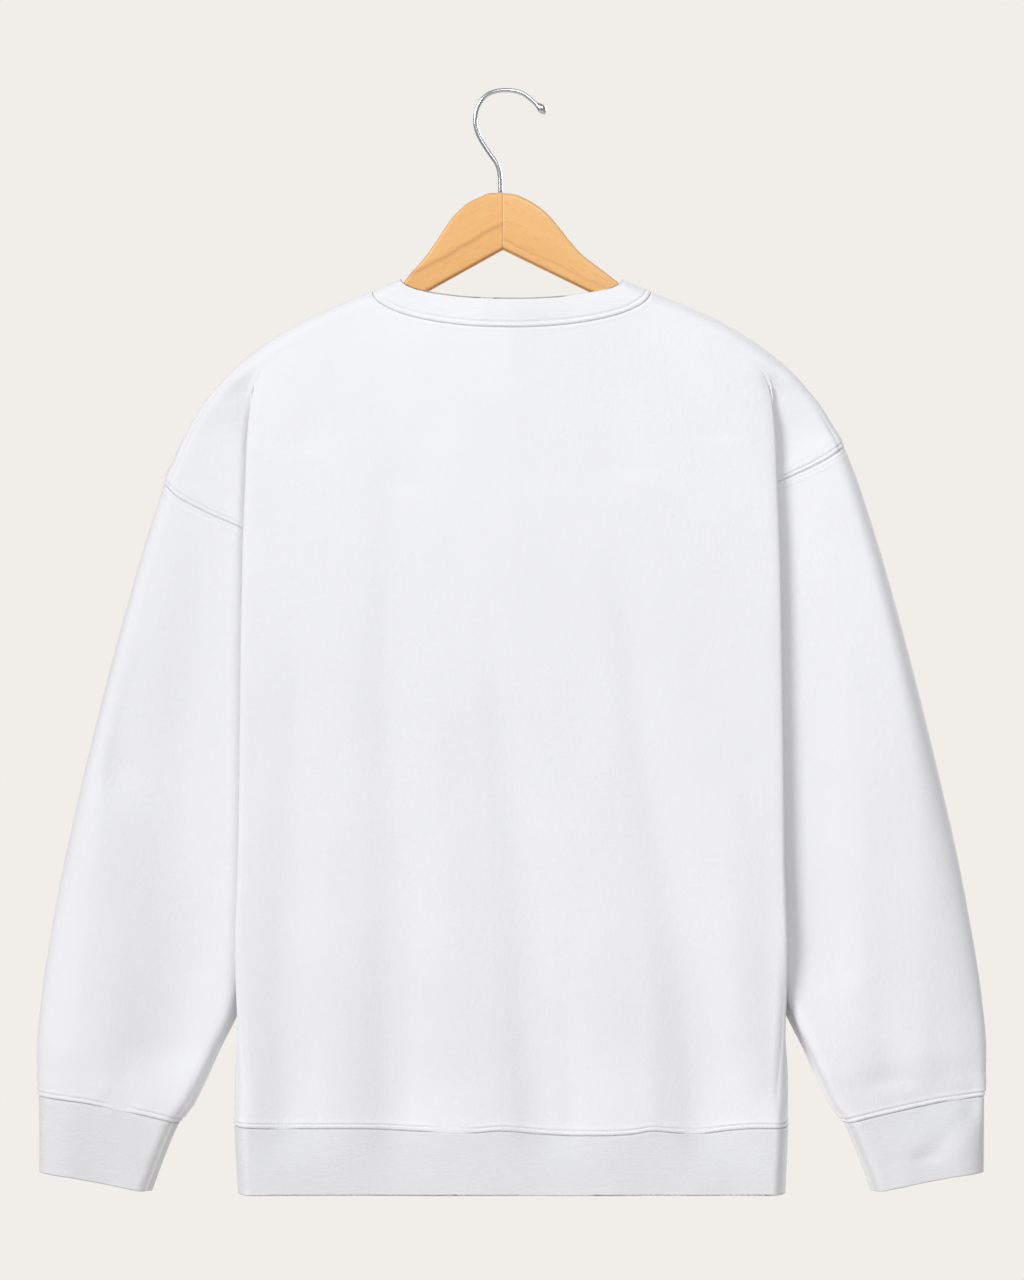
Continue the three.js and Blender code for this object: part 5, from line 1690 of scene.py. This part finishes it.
class SWEATSHIRT_OT_stitching(bpy.types.Operator):
    """Sews the stitch rows beside the seams"""

    bl_idname = "sweatshirt.stitching"
    bl_label = "Stitching"

    def execute(self, context):
        sizes = sizes_now()
        length, radius = sizes.stitch_length / MM, sizes.thread_radius / MM
        sheets = garment()
        neck = sheets["neck_rib"]
        fall = -neck.uv[neck.ring_ids][:, 0, 1]
        above = fall[-1] - fall
        ring = neck.ring_ids[row_near(above, NECK_STITCH_LINE["away"])]
        self.sew("stitches_neck", [(neck, np.append(ring, ring[0]))], length, radius)
        rows = []
        for word in ("back_panel", "front_panel"):
            sheet = sheets[word]
            ids = sheet.lower_ids
            heights = sheet.points[ids][:, 0, 2] - HEM_SEAM_Z
            row = row_near(heights, STITCH_LINE["away"])
            start = len(ARMHOLE_PARTS) - 1
            left, right = (sheet.rows["bottom%d" % side][row - start, 1:] for side in (-1, 1))
            rows.append((sheet, np.concatenate([left[::-1], ids[row], right])))
        self.sew("stitches_hem", rows, length, radius)
        low = neck.ring_ids[row_near(above, NECK_BAR["up"])]
        x, y = neck.points[low][:, 0], neck.points[low][:, 1]
        bar = low[(np.abs(x - NECK_BAR["x"]) < NECK_BAR["half"]) & (y < 0)]
        self.sew("stitches_bar", [(neck, bar)], NECK_BAR["stitch"], NECK_BAR["thicker"] * radius)
        for word in ("left", "right"):
            sheet = sheets["sleeve_" + word]
            self.overcast("stitches_armhole_" + word, sheet, radius)
            row = row_near(sheet.row_distance[1], STITCH_LINE["away"])
            start = len(sheet.row_distance[0]) - len(sheet.closed_ids)
            ring = np.concatenate([sheet.tube_ids[row], sheet.closed_ids[row - start, 1:]])
            self.sew("stitches_cuff_" + word, [(sheet, ring)], length, radius)
        return {"FINISHED"}

    def overcast(self, name, sheet, radius):
        """Short threads over the armhole seam, from its top edge to its lower edge."""
        ids, below = sheet.tube_ids[0], sheet.tube_ids[2]
        seam, low, normals = sheet.points[ids], sheet.points[below], sheet.normals[ids]
        top = (1 + OVERCAST["past"]) * seam - OVERCAST["past"] * low
        bottom = mix(seam, low, OVERCAST["into"])
        stitches = Stitches()
        stitches.cross(top, normals, bottom, sheet.normals[below], radius)
        dress(stitches.build(name), thread())

    def sew(self, name, rows, length, radius):
        """Stitches along rows of places of one or more sheets."""
        stitches = Stitches()
        for sheet, ids in rows:
            stitches.run_along(sheet.points[ids], sheet.normals[ids], length, radius)
        dress(stitches.build(name), thread())


def hanger_top(side, reach):
    """Height of the top edge: from its table where it is bare, under the cloth farther out."""
    half = abs(HANGER_MIDDLE_X + side * reach - GARMENT_MIDDLE_X)
    if half < HANGER_BARE_HALF:
        return float(HANGER_EDGES[side](reach))
    slope = float(fall_of(ridge_height, half))
    on_panel = float(ease((half - HANGER_UNDER_PANEL[0]) / HANGER_UNDER_PANEL[1]))
    under = mix(HANGER_UNDER_RIB, HANGER_UNDER_CLOTH, on_panel)
    return float(ridge_height(half)) - under * math.sqrt(1 + slope * slope)


HANGER_EDGES = {-1: through(HANGER_TOP, "reach", "left"), 1: through(HANGER_TOP, "reach", "right")}
CORNER_STEPS = 6
# Rows of places along an arm, and how it thins and rounds at its end.
ARM_START = 1.5
ARM_STEPS = 120
END_PARTS = (0.3, 0.5, 0.68, 0.82, 0.92, 0.98)
END_THICK = 0.5
EDGE_ROUND_PART = 0.8


def hanger_ring(x, top, bottom, half_thick, edge):
    """Outline of the arm at one place, with rounded corners."""
    ring = []
    spots = [(half_thick - edge, top - edge), (edge - half_thick, top - edge)]
    spots += [(edge - half_thick, bottom + edge), (half_thick - edge, bottom + edge)]
    for turn, (y, z) in enumerate(spots):
        for step in range(CORNER_STEPS + 1):
            angle = math.pi / 2 * (turn + step / CORNER_STEPS)
            ring.append((x, y + edge * math.cos(angle), z + edge * math.sin(angle)))
    return ring


def hanger_half(side, name):
    """One arm of the hanger, from the joint in the middle to its rounded end."""
    end = HANGER_END_HALF + side * (GARMENT_MIDDLE_X - HANGER_MIDDLE_X)
    square = end - HANGER_END_ROUND
    reaches = [HANGER_JOINT / 2, HANGER_JOINT / 2 + JOINT_CHAMFER]
    reaches += list(np.linspace(ARM_START, square, ARM_STEPS))
    reaches += [square + HANGER_END_ROUND * part for part in END_PARTS]
    rings = []
    for k, reach in enumerate(reaches):
        past = max(reach - square, 0) / HANGER_END_ROUND
        shrink = math.sqrt(1 - past * past)
        top, bottom = hanger_top(side, reach), HANGER_BOTTOM_Z - HANGER_SLOPE[side] * reach
        middle = (top + bottom) / 2
        half_high = (top - bottom) / 2 - HANGER_END_ROUND * (1 - shrink)
        half_thick = HANGER_HALF_THICK * mix(END_THICK, 1, shrink)
        trim = JOINT_CHAMFER if k == 0 else 0
        edge = min(HANGER_EDGE_ROUND, half_thick * EDGE_ROUND_PART) - trim
        ring = hanger_ring(
            HANGER_MIDDLE_X + side * reach, middle + half_high - trim, middle - half_high + trim,
            half_thick - trim, edge,
        )
        rings.append(ring if side > 0 else ring[::-1])
    rings = np.array(rings)
    return make_mesh(name, rings.reshape(-1, 3), tube_faces(rings))


# Each half of the hanger: its side, how red its wood is, and its dark streak and its rim line of painted
# shade, in metres.
WOOD = {
    "left": (-1, 0.4, {"z": -0.092, "half": 0.004, "strength": 0.5, "rim": -0.1127}),
    "right": (1, 0.15, {"z": -0.109, "half": 0.002, "strength": 0.25, "rim": -0.1192}),
}


class SWEATSHIRT_OT_hanger(bpy.types.Operator):
    """Makes the two halves of the wooden hanger"""

    bl_idname = "sweatshirt.hanger"
    bl_label = "Wooden hanger"

    def execute(self, context):
        for word, (side, redder, streak) in WOOD.items():
            piece = hanger_half(side, "wood_" + word)
            turn = -side * math.atan(HANGER_SLOPE[side])
            look = wood_material("beech_" + word, finish_now(), turn, redder, streak)
            dress(piece, look, "hanger_" + word)
        return {"FINISHED"}


HOOK_STEPS = 9
HOOK_SIDES = 28
HOOK_CAP = {"past": 0.9, "part": 0.35}


def smooth_path(rows, names, steps):
    """Smooth curve through a table's rows, whose slope at a row is that between its neighbours."""
    points = np.stack([rows[name] for name in names], axis=-1)
    ends = np.concatenate([[2 * points[0] - points[1]], points, [2 * points[-1] - points[-2]]])
    out = []
    for i in range(1, len(ends) - 2):
        p0, p1, p2, p3 = ends[i - 1 : i + 3]
        for k in range(steps if i < len(ends) - 3 else steps + 1):
            t = k / steps
            out.append(0.5 * (
                2 * p1 + (p2 - p0) * t + (2 * p0 - 5 * p1 + 4 * p2 - p3) * t * t
                + (3 * p1 - p0 - 3 * p2 + p3) * t ** 3
            ))
    return np.array(out)


class SWEATSHIRT_OT_hook(bpy.types.Operator):
    """Makes the chrome hook wire with its rounded tip"""

    bl_idname = "sweatshirt.hook"
    bl_label = "Chrome hook"

    def execute(self, context):
        path = smooth_path(HOOK_PATH, ("x", "z", "r"), HOOK_STEPS)
        middles = np.stack([path[:, 0], 0 * path[:, 0], path[:, 1]], axis=-1)
        run = unit(np.gradient(middles, axis=0))
        out = np.stack([-run[:, 2], 0 * run[:, 0], run[:, 0]], axis=-1)
        angle = np.linspace(0, 2 * math.pi, HOOK_SIDES, endpoint=False)
        over = np.array([0.0, -1.0, 0.0])
        rings = np.stack([
            middle + radius * (np.cos(angle)[:, None] * side + np.sin(angle)[:, None] * over)
            for middle, side, radius in zip(middles, out, path[:, 2])
        ])
        end = middles[-1] + run[-1] * HOOK_CAP["past"]
        cap = end + HOOK_CAP["part"] * (rings[-1] - middles[-1])
        rings = np.concatenate([rings, cap[None]])
        piece = make_mesh("hook_wire", rings.reshape(-1, 3), tube_faces(rings))
        dress(piece, chrome_material(finish_now()), "hanger_hook")
        return {"FINISHED"}


def add_light(name, kind, place, aim, power, colour, **settings):
    """A light at a place that shines along aim."""
    light = bpy.data.lights.new(name, kind)
    for key, value in {"energy": power, "color": colour, **settings}.items():
        setattr(light, key, value)
    thing = bpy.data.objects.new(name, light)
    thing.location = place
    thing.rotation_euler = aim.to_track_quat("-Z", "Y").to_euler()
    bpy.context.scene.collection.objects.link(thing)


# Places and sizes of the stage in metres.
GARMENT_MIDDLE = Vector((0.0, 0.0, -0.5))
KEY_FROM = Vector((-0.61, -0.72, 0.34))
KEY_AWAY = 4
KEY_ANGLE = math.radians(24)
TOP_LIGHT_PLACE = Vector((0.45, -1.7, 1.0))
FRONT_LIGHT_PLACE = Vector((2.6, 2.8, 0.9))
COOL_WHITE = (0.97, 0.98, 1.0)
NEAR_WHITE = (0.98, 0.98, 1.0)
FLOOR_RADIUS = 1.8
FLOOR_SIDES = 96
# Height of the view at the garment, its middle, and the camera's film in millimetres.
VIEW_HEIGHT = 1.0752
VIEW_MIDDLE = {"x": 0.0042, "z": -0.4599}
FILM = 36


class SWEATSHIRT_OT_stage(bpy.types.Operator):
    """Sets the floor, the studio, its lights and the camera"""

    bl_idname = "sweatshirt.stage"
    bl_label = "Stage"

    def execute(self, context):
        stage = context.scene.sweatshirt_stage
        self.make_floor(stage)
        self.make_studio(stage)
        self.make_lights(stage)
        self.make_camera(stage)
        context.scene.view_settings.view_transform = "Standard"
        return {"FINISHED"}

    def make_lights(self, stage):
        add_light(
            "key_light", "SUN", KEY_AWAY * KEY_FROM, -KEY_FROM, stage.key_power, COOL_WHITE, angle=KEY_ANGLE
        )
        for name, place, size, power, colour in (
            ("top_light", TOP_LIGHT_PLACE, 1.2, stage.top_power, COOL_WHITE),
            ("front_light", FRONT_LIGHT_PLACE, 1.6, stage.front_power, NEAR_WHITE),
        ):
            add_light(name, "AREA", place, GARMENT_MIDDLE - place, power, colour, shape="DISK", size=size)

    def make_floor(self, stage):
        angle = np.linspace(0, 2 * math.pi, FLOOR_SIDES, endpoint=False)
        x, y = FLOOR_RADIUS * np.cos(angle), FLOOR_RADIUS * np.sin(angle)
        ring = np.stack([x, y, 0 * angle + stage.floor_height], axis=-1) / MM
        floor = make_mesh("floor", ring, [list(range(len(ring)))])
        look, board = new_material("pale_floor")
        cloud = board.noise(board.place(), scale=3.0, detail=3.0)
        colour = board.blend(cloud, (0.78, 0.76, 0.73), (0.82, 0.8, 0.77))
        board.surface(Base_Color=colour, Roughness=0.85)
        floor.data.materials.append(look)

    def make_studio(self, stage):
        world = bpy.data.worlds.new("studio")
        world.use_nodes = True
        board = Board(world.node_tree)
        _, ahead, _ = board.parts(board.place("Generated"))
        dark = tuple(channel * stage.side_level for channel in stage.backdrop)
        colour = board.blend(((ahead - 0.35) / 0.5).limited(0, 1), dark, tuple(stage.backdrop))
        colour = board.blend((ahead * -2.0).limited(0, 1), colour, tuple(stage.near_colour))
        background = board.node("ShaderNodeBackground", {}, Color=colour, Strength=1.0)
        board.finish(background, "ShaderNodeOutputWorld")
        bpy.context.scene.world = world

    def make_camera(self, stage):
        camera = bpy.data.cameras.new("camera")
        camera.sensor_width = FILM
        camera.lens = stage.lens
        camera.clip_end = 50
        thing = bpy.data.objects.new("camera", camera)
        thing.location = (VIEW_MIDDLE["x"], -VIEW_HEIGHT * stage.lens / FILM, VIEW_MIDDLE["z"])
        thing.rotation_euler = (math.pi / 2, 0, 0)
        bpy.context.scene.collection.objects.link(thing)
        bpy.context.scene.camera = thing


STEPS = (
    SWEATSHIRT_OT_stage,
    SWEATSHIRT_OT_hanger,
    SWEATSHIRT_OT_hook,
    SWEATSHIRT_OT_back_panel,
    SWEATSHIRT_OT_front_panel,
    SWEATSHIRT_OT_sleeves,
    SWEATSHIRT_OT_cuffs,
    SWEATSHIRT_OT_hem_rib,
    SWEATSHIRT_OT_neck_rib,
    SWEATSHIRT_OT_stitching,
)


class SWEATSHIRT_PT_panel(bpy.types.Panel):
    """Lists the pieces of the sweatshirt"""

    bl_idname = "SWEATSHIRT_PT_panel"
    bl_label = "Sweatshirt"
    bl_space_type = "VIEW_3D"
    bl_region_type = "UI"
    bl_category = "Sweatshirt"

    def draw(self, context):
        for step in STEPS:
            self.layout.operator(step.bl_idname)


GROUPS = {
    "sweatshirt_sizes": SweatshirtSizes,
    "sweatshirt_finish": SweatshirtFinish,
    "sweatshirt_stage": SweatshirtStage,
}


def register():
    for group in GROUPS.values():
        bpy.utils.register_class(group)
    for step in STEPS:
        bpy.utils.register_class(step)
    bpy.utils.register_class(SWEATSHIRT_PT_panel)
    for name, group in GROUPS.items():
        setattr(bpy.types.Scene, name, PointerProperty(type=group))


def unregister():
    for name in GROUPS:
        delattr(bpy.types.Scene, name)
    bpy.utils.unregister_class(SWEATSHIRT_PT_panel)
    for step in reversed(STEPS):
        bpy.utils.unregister_class(step)
    for group in GROUPS.values():
        bpy.utils.unregister_class(group)


def main():
    register()
    for step in STEPS:
        family, name = step.bl_idname.split(".")
        getattr(getattr(bpy.ops, family), name)()


if __name__ == "__main__":
    main()
